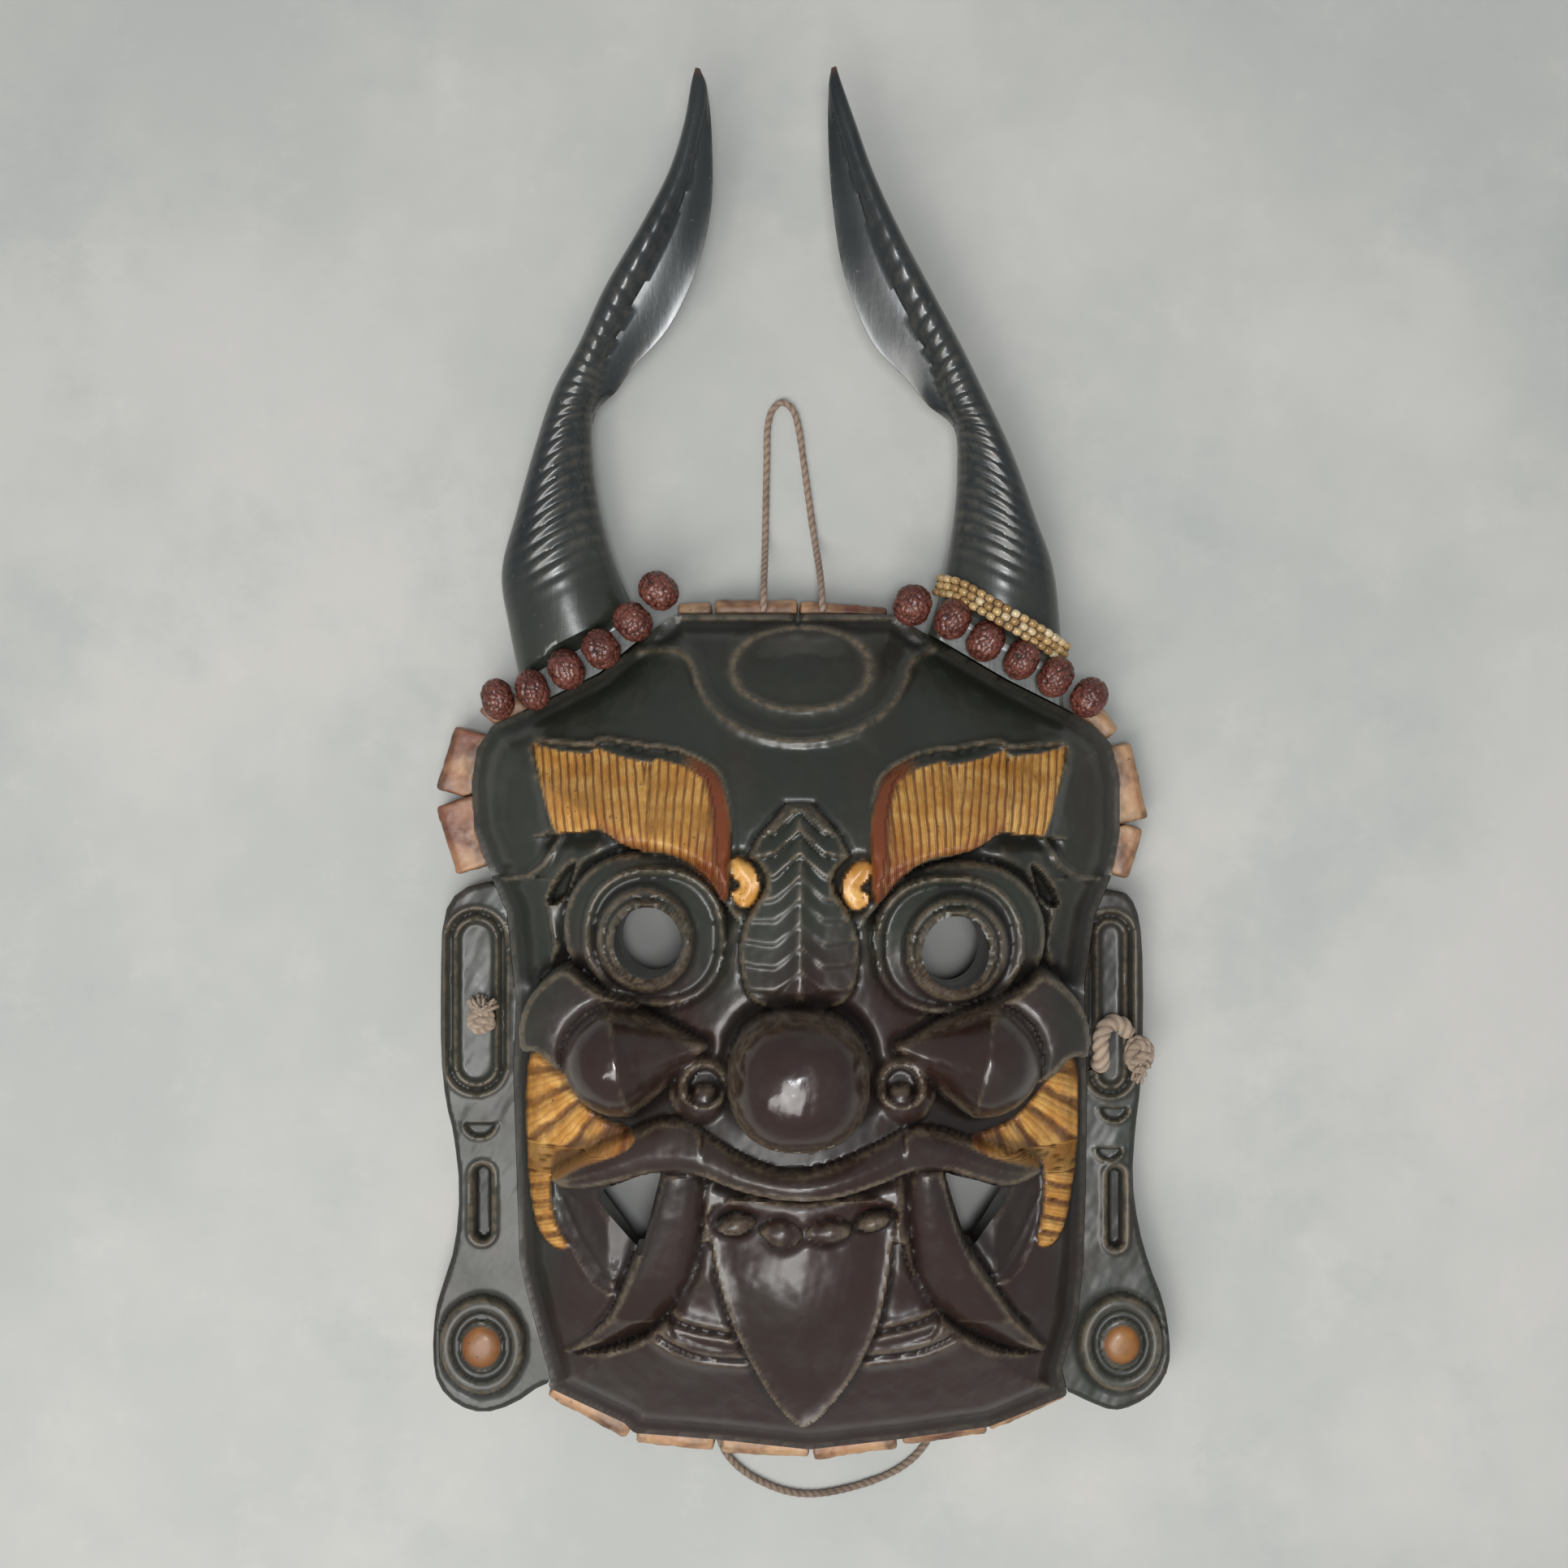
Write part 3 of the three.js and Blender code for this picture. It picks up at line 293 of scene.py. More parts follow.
def carved_wood(name, gloss):
    m = Nodes(name)
    patches = m.ramp(m.noise(14, 5), 0.38, 0.62)
    tone = m.math("ADD", m.attribute("red"), m.times(m.math("SUBTRACT", patches, 0.5), 0.5), clamp=True)
    base = m.mix(tone, GREEN_BLACK, RED_BLACK)
    dust = m.ramp(m.noise(45, 6, 0.65), 0.45, 0.8)
    base = m.mix(m.times(dust, 0.35), base, (0.055, 0.052, 0.042))
    grain = m.noise(30, 6, 0.6, m.coords((1, 0.12, 1)))
    base = m.mix(m.times(m.ramp(grain, 0.5, 0.75), 0.25), base, (0.045, 0.028, 0.018))
    # painted shade: near-black where the carving is sunk, in the mouth corners, on the upright walls and
    # inside the back
    base = m.mix(m.times(m.attribute("dirt_and_shade"), 0.75), base, (0.006, 0.005, 0.004))
    broken = m.ramp(m.noise(230, 5, 0.7), 0.36, 0.62)
    wear = m.math("MULTIPLY", m.attribute("wear"), m.plus(m.times(broken, 0.75), 0.25), clamp=True)
    base = m.mix(m.times(wear, 0.8), base, WORN)
    streak = m.times(m.attribute("strand"), 6.2832)  # one turn for each strand
    wave = m.math("SINE", m.plus(streak, m.times(m.noise(90, 3), 3.0)))
    fine = m.math("SINE", m.plus(m.times(streak, 3.7), m.times(m.noise(160, 3), 5.0)))
    gold = m.mix(m.ramp(m.noise(95, 6, 0.65), 0.35, 0.7), GOLD, GOLD_LIGHT)
    # painted shade: the gold turns dark brown along the stripes that the bump below sinks as grooves between
    # hairs
    gold = m.mix(m.times(m.ramp(wave, 0.1, 1.0), 0.85), gold, (0.13, 0.042, 0.009))
    gold = m.mix(m.times(m.ramp(fine, 0.3, 1.0), 0.35), gold, (0.22, 0.08, 0.018))
    gold = m.mix(m.ramp(m.noise(38, 4), 0.5, 0.72), gold, (0.36, 0.16, 0.03))
    gold = m.mix(m.attribute("burn"), gold, RUST)
    specks = m.ramp(m.noise(420, 3, 0.6), 0.66, 0.72)
    gold = m.mix(m.times(specks, 0.8), gold, (0.035, 0.016, 0.008))
    # painted shade over the gold where it is sunk
    gold = m.mix(m.times(m.attribute("dirt_and_shade"), 0.7), gold, (0.03, 0.011, 0.004))
    color = m.mix(m.attribute("gold"), base, gold)
    chip = m.ramp(m.plus(m.noise(300, 6, 0.7), m.times(m.attribute("chip"), 0.4)), 0.82, 0.86)
    color = m.mix(chip, color, (0.52, 0.47, 0.42))
    scuff = m.ramp(m.noise(26, 6, 0.6), 0.3, 0.8)
    rough = m.plus(m.times(scuff, 0.20), gloss)
    rough = m.plus(rough, m.times(m.attribute("polish"), -0.16))
    rough = m.math("ADD", rough, m.times(wear, 0.2), clamp=True)
    rough = m.math("ADD", rough, m.times(m.attribute("dirt_and_shade"), 0.2), clamp=True)
    height = m.plus(m.times(m.noise(60, 5, 0.5), 0.6), m.times(grain, 0.35))
    height = m.plus(height, m.times(m.noise(380, 4, 0.6), 0.16))
    grooves = m.times(m.attribute("gold"), m.plus(wave, m.times(fine, 0.4)))
    normal = m.bump(height, 0.35, 0.0012)
    normal = m.bump(m.times(grooves, -0.5), 0.6, 0.0006, normal)
    return m.finish(color, rough, normal, coat=0.25, coat_roughness=0.22)


def horn_material():
    m = Nodes("horn")
    along = m.attribute("along")
    base = m.mix(m.ramp(m.noise(16, 5), 0.35, 0.65), (0.010, 0.0135, 0.0155), (0.022, 0.026, 0.026))
    streaks = m.noise(90, 5, 0.6, m.coords((1, 0.1, 1)))
    base = m.mix(m.times(m.ramp(streaks, 0.45, 0.75), 0.45), base, (0.04, 0.046, 0.044))
    base = m.mix(m.times(m.ramp(along, 0.22, 0.0), 0.7), base, (0.030, 0.034, 0.022))
    base = m.mix(m.times(m.ramp(along, 0.93, 1.0), 0.9), base, (0.075, 0.040, 0.024))
    wear = m.times(m.attribute("wear"), m.ramp(m.noise(210, 5, 0.7), 0.35, 0.65))
    base = m.mix(m.times(wear, 0.55), base, (0.13, 0.11, 0.085))
    base = m.mix(m.times(m.ramp(m.noise(520, 3), 0.68, 0.74), 0.5), base, (0.16, 0.15, 0.13))
    rough = m.plus(m.times(m.noise(40, 5), 0.22), 0.20)
    height = m.plus(m.times(streaks, 0.8), m.times(m.noise(260, 4), 0.25))
    normal = m.bump(height, 0.4, 0.0006)
    return m.finish(base, rough, normal, coat=0.3, coat_roughness=0.18)


def seed_material():
    m = Nodes("rudraksha")
    pit = m.attribute("pit")
    base = m.mix(m.ramp(m.noise(120, 4), 0.35, 0.65), (0.085, 0.020, 0.014), (0.15, 0.045, 0.03))
    # painted shade: near-black in the sunk cracks and seams
    base = m.mix(m.ramp(pit, 0.45, 1.0), base, (0.018, 0.006, 0.005))
    base = m.mix(m.times(m.ramp(m.noise(600, 2), 0.6, 0.72), 0.35), base, (0.30, 0.14, 0.09))
    normal = m.bump(m.noise(900, 3), 0.4, 0.0004)
    return m.finish(base, 0.34, normal, coat=0.3, coat_roughness=0.25)


def glass_material():
    m = Nodes("seed_beads")
    tone = m.attribute("tone")
    base = m.mix(m.ramp(tone, 0.1, 0.6), (0.30, 0.17, 0.06), (0.50, 0.33, 0.14))
    base = m.mix(m.ramp(tone, 0.75, 0.95), base, (0.62, 0.50, 0.32))
    base = m.mix(m.times(m.ramp(m.noise(300, 4), 0.45, 0.7), 0.5), base, (0.12, 0.07, 0.035))
    # painted shade: the strap under the beads is near-black
    base = m.mix(m.attribute("dirt_and_shade"), base, (0.02, 0.013, 0.009))
    return m.finish(base, 0.16, m.bump(m.noise(700, 3), 0.15, 0.0002), coat=0.4, coat_roughness=0.1)


def bone_material():
    m = Nodes("smoked_bone")
    base = m.mix(m.ramp(m.noise(45, 5), 0.35, 0.68), (0.46, 0.27, 0.14), (0.36, 0.17, 0.085))
    base = m.mix(m.ramp(m.noise(18, 4), 0.52, 0.68), base, (0.17, 0.055, 0.032))
    fibre = m.noise(120, 6, 0.65, m.coords((1, 1, 0.25)))
    base = m.mix(m.times(m.ramp(fibre, 0.48, 0.72), 0.5), base, (0.60, 0.42, 0.26))
    base = m.mix(m.ramp(m.noise(260, 4, 0.7), 0.62, 0.74), base, (0.09, 0.04, 0.022))
    # darker in random patches, with painted shade low down near the floor
    base = m.mix(m.times(m.attribute("dirt_and_shade"), 0.9), base, (0.035, 0.014, 0.009))
    rough = m.plus(m.times(m.noise(70, 4), 0.25), 0.36)
    height = m.plus(m.times(fibre, 0.7), m.times(m.noise(420, 4), 0.3))
    return m.finish(base, rough, m.bump(height, 0.55, 0.0009), coat=0.12, coat_roughness=0.3)


def fibre_material(name, light, dark, stain_and_shade):
    m = Nodes(name)
    lay = m.attribute("lay")
    fibres = m.new("ShaderNodeCombineXYZ")
    m.link(m.times(lay, 26.0), fibres.inputs[0])
    m.link(m.times(m.attribute("along"), 0.35), fibres.inputs[1])
    hair = m.noise(1.0, 4, 0.6, fibres.outputs[0])
    base = m.mix(m.ramp(hair, 0.3, 0.7), dark, light)
    # painted shade in the grooves between strands
    base = m.mix(m.times(m.attribute("groove"), 0.85), base, stain_and_shade)
    base = m.mix(m.times(m.ramp(m.noise(60, 4), 0.5, 0.75), 0.5), base, stain_and_shade)
    height = m.plus(hair, m.times(m.noise(900, 3), 0.4))
    return m.finish(base, 0.85, m.bump(height, 0.8, 0.0006), specular=0.25, sheen=0.15)


def floor_material():
    m = Nodes("floor")
    base = m.mix(m.ramp(m.noise(4.5, 5, 0.6), 0.35, 0.65), (0.43, 0.44, 0.42), (0.52, 0.51, 0.485))
    base = m.mix(m.times(m.ramp(m.noise(7.0, 7, 0.7), 0.5, 0.68), 0.35), base, (0.34, 0.37, 0.37))
    base = m.mix(m.times(m.ramp(m.noise(30, 8, 0.75), 0.52, 0.7), 0.22), base, (0.60, 0.58, 0.55))
    return m.finish(base, 0.85, m.bump(m.noise(160, 4), 0.15, 0.0008), specular=0.2)


CORD_STRING = fibre_material("string", (0.50, 0.37, 0.28), (0.30, 0.20, 0.145), (0.12, 0.08, 0.06))
CORD_CHIN = fibre_material("chin_string", (0.38, 0.29, 0.22), (0.22, 0.155, 0.115), (0.075, 0.052, 0.04))
KNOT = fibre_material("knot_fibre", (0.60, 0.47, 0.36), (0.38, 0.28, 0.20), (0.16, 0.11, 0.08))

# ---- the two free cords, on the routes of their CAD solids ----
HANG = [
    [-15, 68.6, 24.2], [-15, 72, 24.3], [-14.9, 77, 22.5], [-14.8, 84, 16.5], [-14.6, 91, 9.5],
    [-14.5, 98, 4],
    [-14.4, 106, 1.9], [-14.2, 118, 1.8], [-13.9, 132, 1.8], [-13.6, 145, 1.8], [-11.7, 152.5, 1.8],
    [-7.6, 155.8, 1.8], [-3.2, 152.5, 1.8], [-0.9, 145, 1.8], [1, 132, 1.8], [2.9, 118, 1.8],
    [4.6, 106, 1.9],
    [5.8, 98, 4], [6.8, 91, 9.5], [7.6, 84, 16.5], [8.1, 77, 22.5], [8.3, 72, 24.3], [8.3, 68.6, 24.2],
]
CHIN = [
    [-34, -258.1, 1.6], [-33.6, -262, 1.6], [-32, -267.5, 1.6], [-28, -273.5, 1.6], [-22.4, -278.4, 1.6],
    [-15, -282.6, 1.6], [-6.6, -285.8, 1.6], [2, -287.1, 1.6], [10, -286.6, 1.6], [18, -285, 1.6],
    [26, -282.8, 1.6], [34, -279.8, 1.6], [41, -276, 1.6], [47, -271, 1.6], [51.5, -265, 1.6],
    [53.6, -260, 1.6], [54, -256, 1.6],
]


def free_cord(name, points, diameter, turn, material, seed):
    verts, faces, attributes, path, length = rope(points, diameter / 2, 2, turn, 0.55, 16, 0.22, seed)
    obj = finish_piece(build(name, verts, faces, attributes), material, "string", name)
    return obj


free_cord("cord_hang", HANG, 2.8, 7.0, CORD_STRING, 1)
free_cord("cord_chin", CHIN, 3.0, 6.0, CORD_CHIN, 2)


# ---- plan geometry, on arrays of points ----
def smooth(a, b, t):
    u = np.clip((np.asarray(t, float) - a) / (b - a), 0, 1)
    return u * u * (3 - 2 * u)


def bell(d, width):
    """1 where d is nought, falling off over about a width."""
    return np.exp(-((d / width) ** 2))


def moat(d, width):
    """A bell along the outside of an edge; d is positive within it."""
    return bell(np.minimum(d, 0), width) * (d < 0)


def mark(at, key, values):
    at[key] = np.maximum(at[key], values)


def smax(a, b, k):
    """The larger of two heights, blended where they meet."""
    d = np.clip(0.5 + 0.5 * (a - b) / k, 0, 1)
    return b + (a - b) * d + k * d * (1 - d)


def line_distance(points, x, y, closed=False):
    """Distance to a line, the share of its length at the nearest point, the nearest point, and the side."""
    p = np.asarray(points, float)
    q = np.vstack([p, p[:1]]) if closed else p
    seg = np.linalg.norm(np.diff(q, axis=0), axis=1)
    start = np.concatenate([[0], np.cumsum(seg)])
    best = np.full(x.shape, 1e18)
    along, nx, ny, side = (np.zeros(x.shape) for _ in range(4))
    for k in range(len(q) - 1):
        (ax, ay), (bx, by) = q[k], q[k + 1]
        dx, dy = bx - ax, by - ay
        t = np.clip(((x - ax) * dx + (y - ay) * dy) / (dx * dx + dy * dy), 0, 1)
        px, py = ax + t * dx, ay + t * dy
        d = (x - px) ** 2 + (y - py) ** 2
        m = d < best
        best = np.where(m, d, best)
        along = np.where(m, start[k] + t * seg[k], along)
        nx, ny = np.where(m, px, nx), np.where(m, py, ny)
        side = np.where(m, dx * (y - ay) - dy * (x - ax), side)
    return np.sqrt(best), along / start[-1], nx, ny, np.sign(side)


def inside(points, x, y):
    """Distance to a closed outline, positive within it, and the nearest point of it."""
    p = np.asarray(points, float)
    within = np.zeros(x.shape, bool)
    for (ax, ay), (bx, by) in zip(p, np.roll(p, 1, axis=0)):
        if ay != by:
            within ^= ((ay > y) != (by > y)) & (x < (bx - ax) * (y - ay) / (by - ay) + ax)
    d, _, nx, ny, _ = line_distance(p, x, y, True)
    return np.where(within, d, -d), nx, ny


def rounded(points, times=2, closed=True):
    """Cuts the corners of an outline."""
    p = np.asarray(points, float)
    for _ in range(times):
        q = np.roll(p, -1, axis=0)
        new = np.stack([0.75 * p + 0.25 * q, 0.25 * p + 0.75 * q], axis=1)
        if closed:
            p = new.reshape(-1, 2)
        else:
            p = np.vstack([p[:1], new[:-1].reshape(-1, 2), p[-1:]])
    return p


def mirrored(points, shift=(-1.5, -1.0)):
    return [(-x + shift[0], y + shift[1]) for x, y in points][::-1]


def ellipse(cx, cy, rx, ry, n=48):
    a = np.linspace(0, 2 * np.pi, n, endpoint=False)
    return np.column_stack([cx + rx * np.cos(a), cy + ry * np.sin(a)])


def stadium(cx, cy, rx, ry, n=14):
    a = np.linspace(0, np.pi, n)
    top = np.column_stack([cx + rx * np.cos(a), cy + ry - rx + rx * np.sin(a)])
    return np.vstack([top, [2 * cx, 2 * cy] - top])


def nearer(a, b):
    """Of two edges, each as a distance and its nearest point, the nearer at every place."""
    m = b[0] < a[0]
    return tuple(np.where(m, q, p) for p, q in zip(a, b))


def cells(region, box, step):
    """A sheet of square cells within a region, its edge vertices drawn onto the region's edge."""
    (x0, y0), (x1, y1) = box
    xs, ys = np.arange(x0, x1 + step, step), np.arange(y0, y1 + step, step)
    X, Y = np.meshgrid(xs, ys)
    d, ex, ey = region(X, Y)
    ok = d > 0.25 * step
    keep = ok[:-1, :-1] & ok[1:, :-1] & ok[:-1, 1:] & ok[1:, 1:]
    ids = np.arange(X.size).reshape(X.shape)
    quads = np.stack([ids[:-1, :-1], ids[:-1, 1:], ids[1:, 1:], ids[1:, :-1]], axis=-1)[keep]
    edges = np.concatenate([quads[:, [k, (k + 1) % 4]] for k in range(4)])
    key = np.sort(edges, axis=1)
    _, first, counts = np.unique(key[:, 0] * X.size + key[:, 1], return_index=True, return_counts=True)
    rim = edges[first[counts == 1]]
    px, py = X.ravel().copy(), Y.ravel().copy()
    move = np.unique(rim)
    px[move], py[move] = ex.ravel()[move], ey.ravel()[move]
    used, inverse = np.unique(quads, return_inverse=True)
    lookup = np.zeros(X.size, int)
    lookup[used] = np.arange(len(used))
    return px[used], py[used], inverse.reshape(-1, 4), lookup[rim]


def walls(x, y, top, bottom, rim, rows):
    """Upright walls from the rim edges of a sheet down to a lower height."""
    ids = np.unique(rim)
    lookup = {v: k for k, v in enumerate(ids)}
    n = len(ids)
    share = np.linspace(0, 1, rows + 1)[1:]
    points = [np.column_stack([x[ids], y[ids], top[ids] + (bottom[ids] - top[ids]) * s]) for s in share]
    base = len(x)
    faces = []
    for a, b in rim:
        la, lb = lookup[a], lookup[b]
        up_a, up_b = a, b
        for r in range(rows):
            low_a, low_b = base + r * n + la, base + r * n + lb
            faces.append((up_b, up_a, low_a, low_b))
            up_a, up_b = low_a, low_b
    return np.vstack(points), faces, np.tile(ids, rows)


def blurred(z, sigma, step):
    """A grid blurred by a bell curve, leaving its empty cells out."""
    r = int(3 * sigma / step)
    k = np.exp(-0.5 * (np.arange(-r, r + 1) * step / sigma) ** 2)
    have = np.isfinite(z).astype(float)
    v = np.where(have > 0, z, 0.0)
    for axis in (0, 1):
        v = np.apply_along_axis(np.convolve, axis, v, k, "same")
        have = np.apply_along_axis(np.convolve, axis, have, k, "same")
    return v / np.maximum(have, 1e-9)


def edge_wear_and_shade(x, y, z, step):
    """How much each point stands out of, or is sunk into, what is round it: wear where it stands out,
    painted shade where it is sunk.
    """
    i = np.round((x - x.min()) / step).astype(int)
    j = np.round((y - y.min()) / step).astype(int)
    grid = np.full((j.max() + 1, i.max() + 1), np.nan)
    grid[j, i] = z
    fine, wide = blurred(grid, 1.3, step)[j, i], blurred(grid, 4.5, step)[j, i]
    wear = smooth(0.16, 0.75, z - fine)
    # painted shade: darker where the surface lies below its blurred surroundings
    dirt_and_shade = np.clip(smooth(0.15, 1.1, fine - z) + smooth(0.8, 3.2, wide - z), 0, 1)
    return wear, dirt_and_shade


def noise_at(x, y, scale, seed=0.0):
    """Even noise over the plan, about -1..1, from a few turned waves of each size."""
    rng = np.random.default_rng(int(seed * 97) + 5)
    total = np.zeros(np.shape(x))
    for octave in range(4):
        f = 2 * np.pi / scale * 1.9**octave
        for _ in range(5):
            a, p = rng.uniform(0, 2 * np.pi, 2)
            total += np.sin(f * (x * np.cos(a) + y * np.sin(a)) + p) * 0.6**octave
    return total / 5.5


# ---- the face ----
GAP = 0.3
WALL_H, BEVEL, DOME_RISE, DOME_RUN, RIDGE_RISE = 27, 6, 42, 82, 14
SHELL, HOLLOW_START, HOLLOW_RISE, HOLLOW_RUN = 15, 12, 40, 72
OUTLINE = [
    (-48, 68), (36, 68), (46, 62), (80, 42), (114, 25), (122, 17), (125.5, 2), (125.5, -18), (122, -36),
    (115.5, -51), (111.5, -78), (112.5, -120), (112, -158), (111, -188), (109, -208), (102.5, -230),
    (105, -240), (74, -252.5), (38, -257.5), (3, -261.5), (-34, -257.5), (-66, -255), (-70, -251),
    (-100, -237), (-99, -233), (-104.5, -213), (-108, -200), (-111, -187), (-113.5, -112), (-112.5, -85),
    (-116, -50), (-122.5, -35), (-129, -17), (-130, 1), (-128, 14.5), (-122, 24), (-107, 30.5), (-79, 44.5),
    (-57, 63),
]
COLLAR = rounded([
    (-64, 53), (-52, 54), (-43, 50), (-38, 34), (-26.5, 22.5), (-9, 17), (7, 17), (22, 21.5), (33, 29),
    (39.5, 39), (43, 50), (52, 54),
], 2, False)
THIRD_EYE, THIRD_EYE_R = (0.0, 46.0), (26.5, 16.5)
BROW = [
    (-104.9, 16.6), (-94.2, 13.7), (-82.1, 12.3), (-79.6, 14.9), (-71.8, 12.0), (-65.0, 10.1), (-57.7, 8.8),
    (-55.5, 10.6), (-45.2, 7.6), (-37.1, 2.4), (-34.1, -8.7), (-33.2, -24.2), (-31.1, -38.8),
    (-34.9, -32.8),
    (-40.1, -29.3), (-49.5, -25.0), (-58.1, -24.2), (-64.1, -23.3), (-69.3, -20.8), (-76.1, -15.7),
    (-83.0, -17.3), (-93.3, -17.8), (-97.6, -8.7), (-101.0, 4.1),
]
LEDGE = [
    (-95.5, -18.6), (-88.1, -17.6), (-76.1, -16.2), (-67.6, -21.4), (-57.3, -25.2), (-45.2, -27.6),
    (-36.7, -34.0),
    (-29.5, -43.0),
]
RECESS = [
    (-105.4, 17.6), (-92.9, 16.1), (-80.6, 15.2), (-77.5, 17.7), (-67.3, 16.2), (-57.9, 14.2),
    (-55.3, 14.6),
    (-45.1, 12.7), (-32.2, 5.8), (-28.8, -3.6), (-26.7, -13.8), (-26.6, -24.1), (-27.3, -41),
] + LEDGE[::-1] + [(-97.6, -8.7), (-101.5, 4.1)]
SIDES = {
    "left": dict(sign=-1, bore=(-57.2, -57.6), bore_r=(12.6, 13.2), ring2=(-58.2, -56.8, 17.6, 18.8),
                 ring1=(-55.3, -56.0, 26.2, 25.6), lobe=(-59.5, -53.6, 31.2, 29.2),
                 cheek=(-67.5, -101.5, 21.8, 21.6),
                 pad=(-85, -84)),
    "right": dict(sign=1, bore=(56.4, -61.2), bore_r=(12.4, 13.6), ring2=(57.0, -60.2, 18.6, 19.0),
                  ring1=(54.8, -59.0, 27.6, 25.4), lobe=(59.5, -57.0, 33.0, 29.4),
                  cheek=(66.5, -101.5, 22.6, 22.0),
                  pad=(87, -87)),
}
COMMA = [
    (-23.0, -25.7), (-18.4, -28.7), (-15.4, -35.4), (-16.7, -42.1), (-20.9, -45.1), (-25.1, -43.0),
    (-26.8, -38.9),
    (-23.2, -37.4), (-22.9, -35.6), (-25.6, -33.9), (-27.2, -29.8), (-26.2, -26.6),
]
BRIDGE = [
    (-1.2, -1.0), (-21.5, -24.6), (-15.0, -28.8), (-12.5, -36.4), (-20.1, -47.1), (-23.4, -57.2),
    (-23.0, -67.2),
    (-20.1, -78.1), (-9.1, -83.3), (-1.2, -84.0),
]
CHEVRONS = [-1.5, -9, -17, -25.5, -34, -42, -51, -59.5, -68.5, -79]
NOSE, NOSE_R, NOSE_TOP = (-1.4, -107.0), (26.2, 26.2), 126.0
LIP = [
    (-94.8, -146.6), (-80.9, -138.2), (-61.1, -126.7), (-46.6, -121.1), (-36.0, -127.0), (-25.5, -133.6),
    (-12.3, -139.6), (0.9, -140.5), (14.1, -136.9), (27.3, -131.0), (40.5, -124.4), (53.7, -127.7),
    (66.9, -133.0),
    (80.1, -138.6), (90.3, -142.5), (91.3, -146.2), (78.8, -151.1), (65.6, -147.5), (53.7, -142.3),
    (40.5, -141.5),
    (27.3, -146.8), (8.8, -151.4), (-7.0, -151.4), (-25.5, -148.1), (-36.0, -143.6), (-51.9, -142.3),
    (-74.3, -150.3),
    (-89.5, -153.1), (-96.5, -149.5),
]
LIP_EDGE = [
    (-36.0, -142.4), (-25.5, -146.7), (-7.0, -149.9), (8.8, -149.9), (27.3, -145.4), (40.5, -140.2),
]
TUSKS = {
    "left": [
        (-52.3, -140.1), (-56.3, -157.4), (-61.6, -173.4), (-66.9, -186.7), (-73.2, -202.2),
        (-82.6, -212.3),
        (-96.0, -222.0), (-78.9, -218.3), (-65.6, -213.6), (-53.6, -205.3), (-41.6, -186.7),
        (-37.0, -165.4),
        (-35.6, -144.7), (-44, -138.5),
    ],
    "right": [
        (38.9, -142.1), (39.6, -165.4), (42.4, -186.7), (55.6, -204.3), (71.5, -215.0), (84.8, -219.4),
        (98.0, -220.5), (88.8, -211.0), (80.8, -202.2), (71.5, -188.0), (62.2, -173.4), (56.2, -158.7),
        (53.6, -142.1), (46, -138.0),
    ],
}
MOUTH = {
    "left": [(-36, -143), (-52, -141.5), (-74.3, -149.5), (-89, -152.5), (-97.1, -150), (-94.8, -165.7),
             (-87.4, -179.2), (-77.5, -193.2), (-64, -192), (-50, -170)],
    "right": [(38, -143), (53, -141.5), (65.6, -146.8), (79, -150.4), (92.6, -147.1), (93.5, -158.9),
              (90.2, -172.5), (82.4, -187.8), (70, -190), (55, -165)],
}
MOUTH_GAP = {
    "left": [(-53.0, -145.0), (-78.2, -154.6), (-77.8, -159.4), (-63.3, -176.2), (-60.6, -175.6)],
    "right": [(54.6, -147.6), (67.5, -150.4), (79.4, -154.2), (79.2, -157.4), (65.4, -175.6),
    (62.6, -174.0)],
}
TONGUE = [
    (-35.6, -158.0), (-34.9, -164.8), (-32.9, -178.0), (-29.6, -191.3), (-25.6, -203.2), (-18.9, -217.8),
    (-12.3, -231.1), (-4.4, -240.9), (0.2, -243.4), (5.2, -240.9), (11.6, -233.7), (18.2, -224.5),
    (23.5, -213.8),
    (28.8, -200.6), (30.8, -191.3), (32.8, -178.0), (34.1, -166.1), (35.4, -156.0), (25, -151),
    (0, -153), (-25, -151),
]
TEETH = [(-24.5, -161.8, 7.2, 3.9, 0.2), (-8.0, -164.6, 7.4, 5.4, -0.08), (9.8, -164.0, 8.2, 4.6, 0.05),
         (26.0, -160.6, 6.4, 3.4, 0.25)]
JAW = [(-37, -165), (36, -165), (43, -187), (56.5, -206), (28, -214), (-28, -214), (-54.5, -206.5),
       (-42, -187)]
FOLDS = {
    "left": [[(-55.0, -208.2), (-46.2, -213.6), (-36.8, -216.9), (-22, -218.0)],
             [(-52.3, -199.8), (-42.2, -204.2), (-26, -207.2)]],
    "right": [[(23, -216.9), (41.7, -214.8), (51.1, -211.4), (58.9, -207.0)],
              [(26, -206.4), (41.7, -203.2), (53.5, -199.0)]],
}
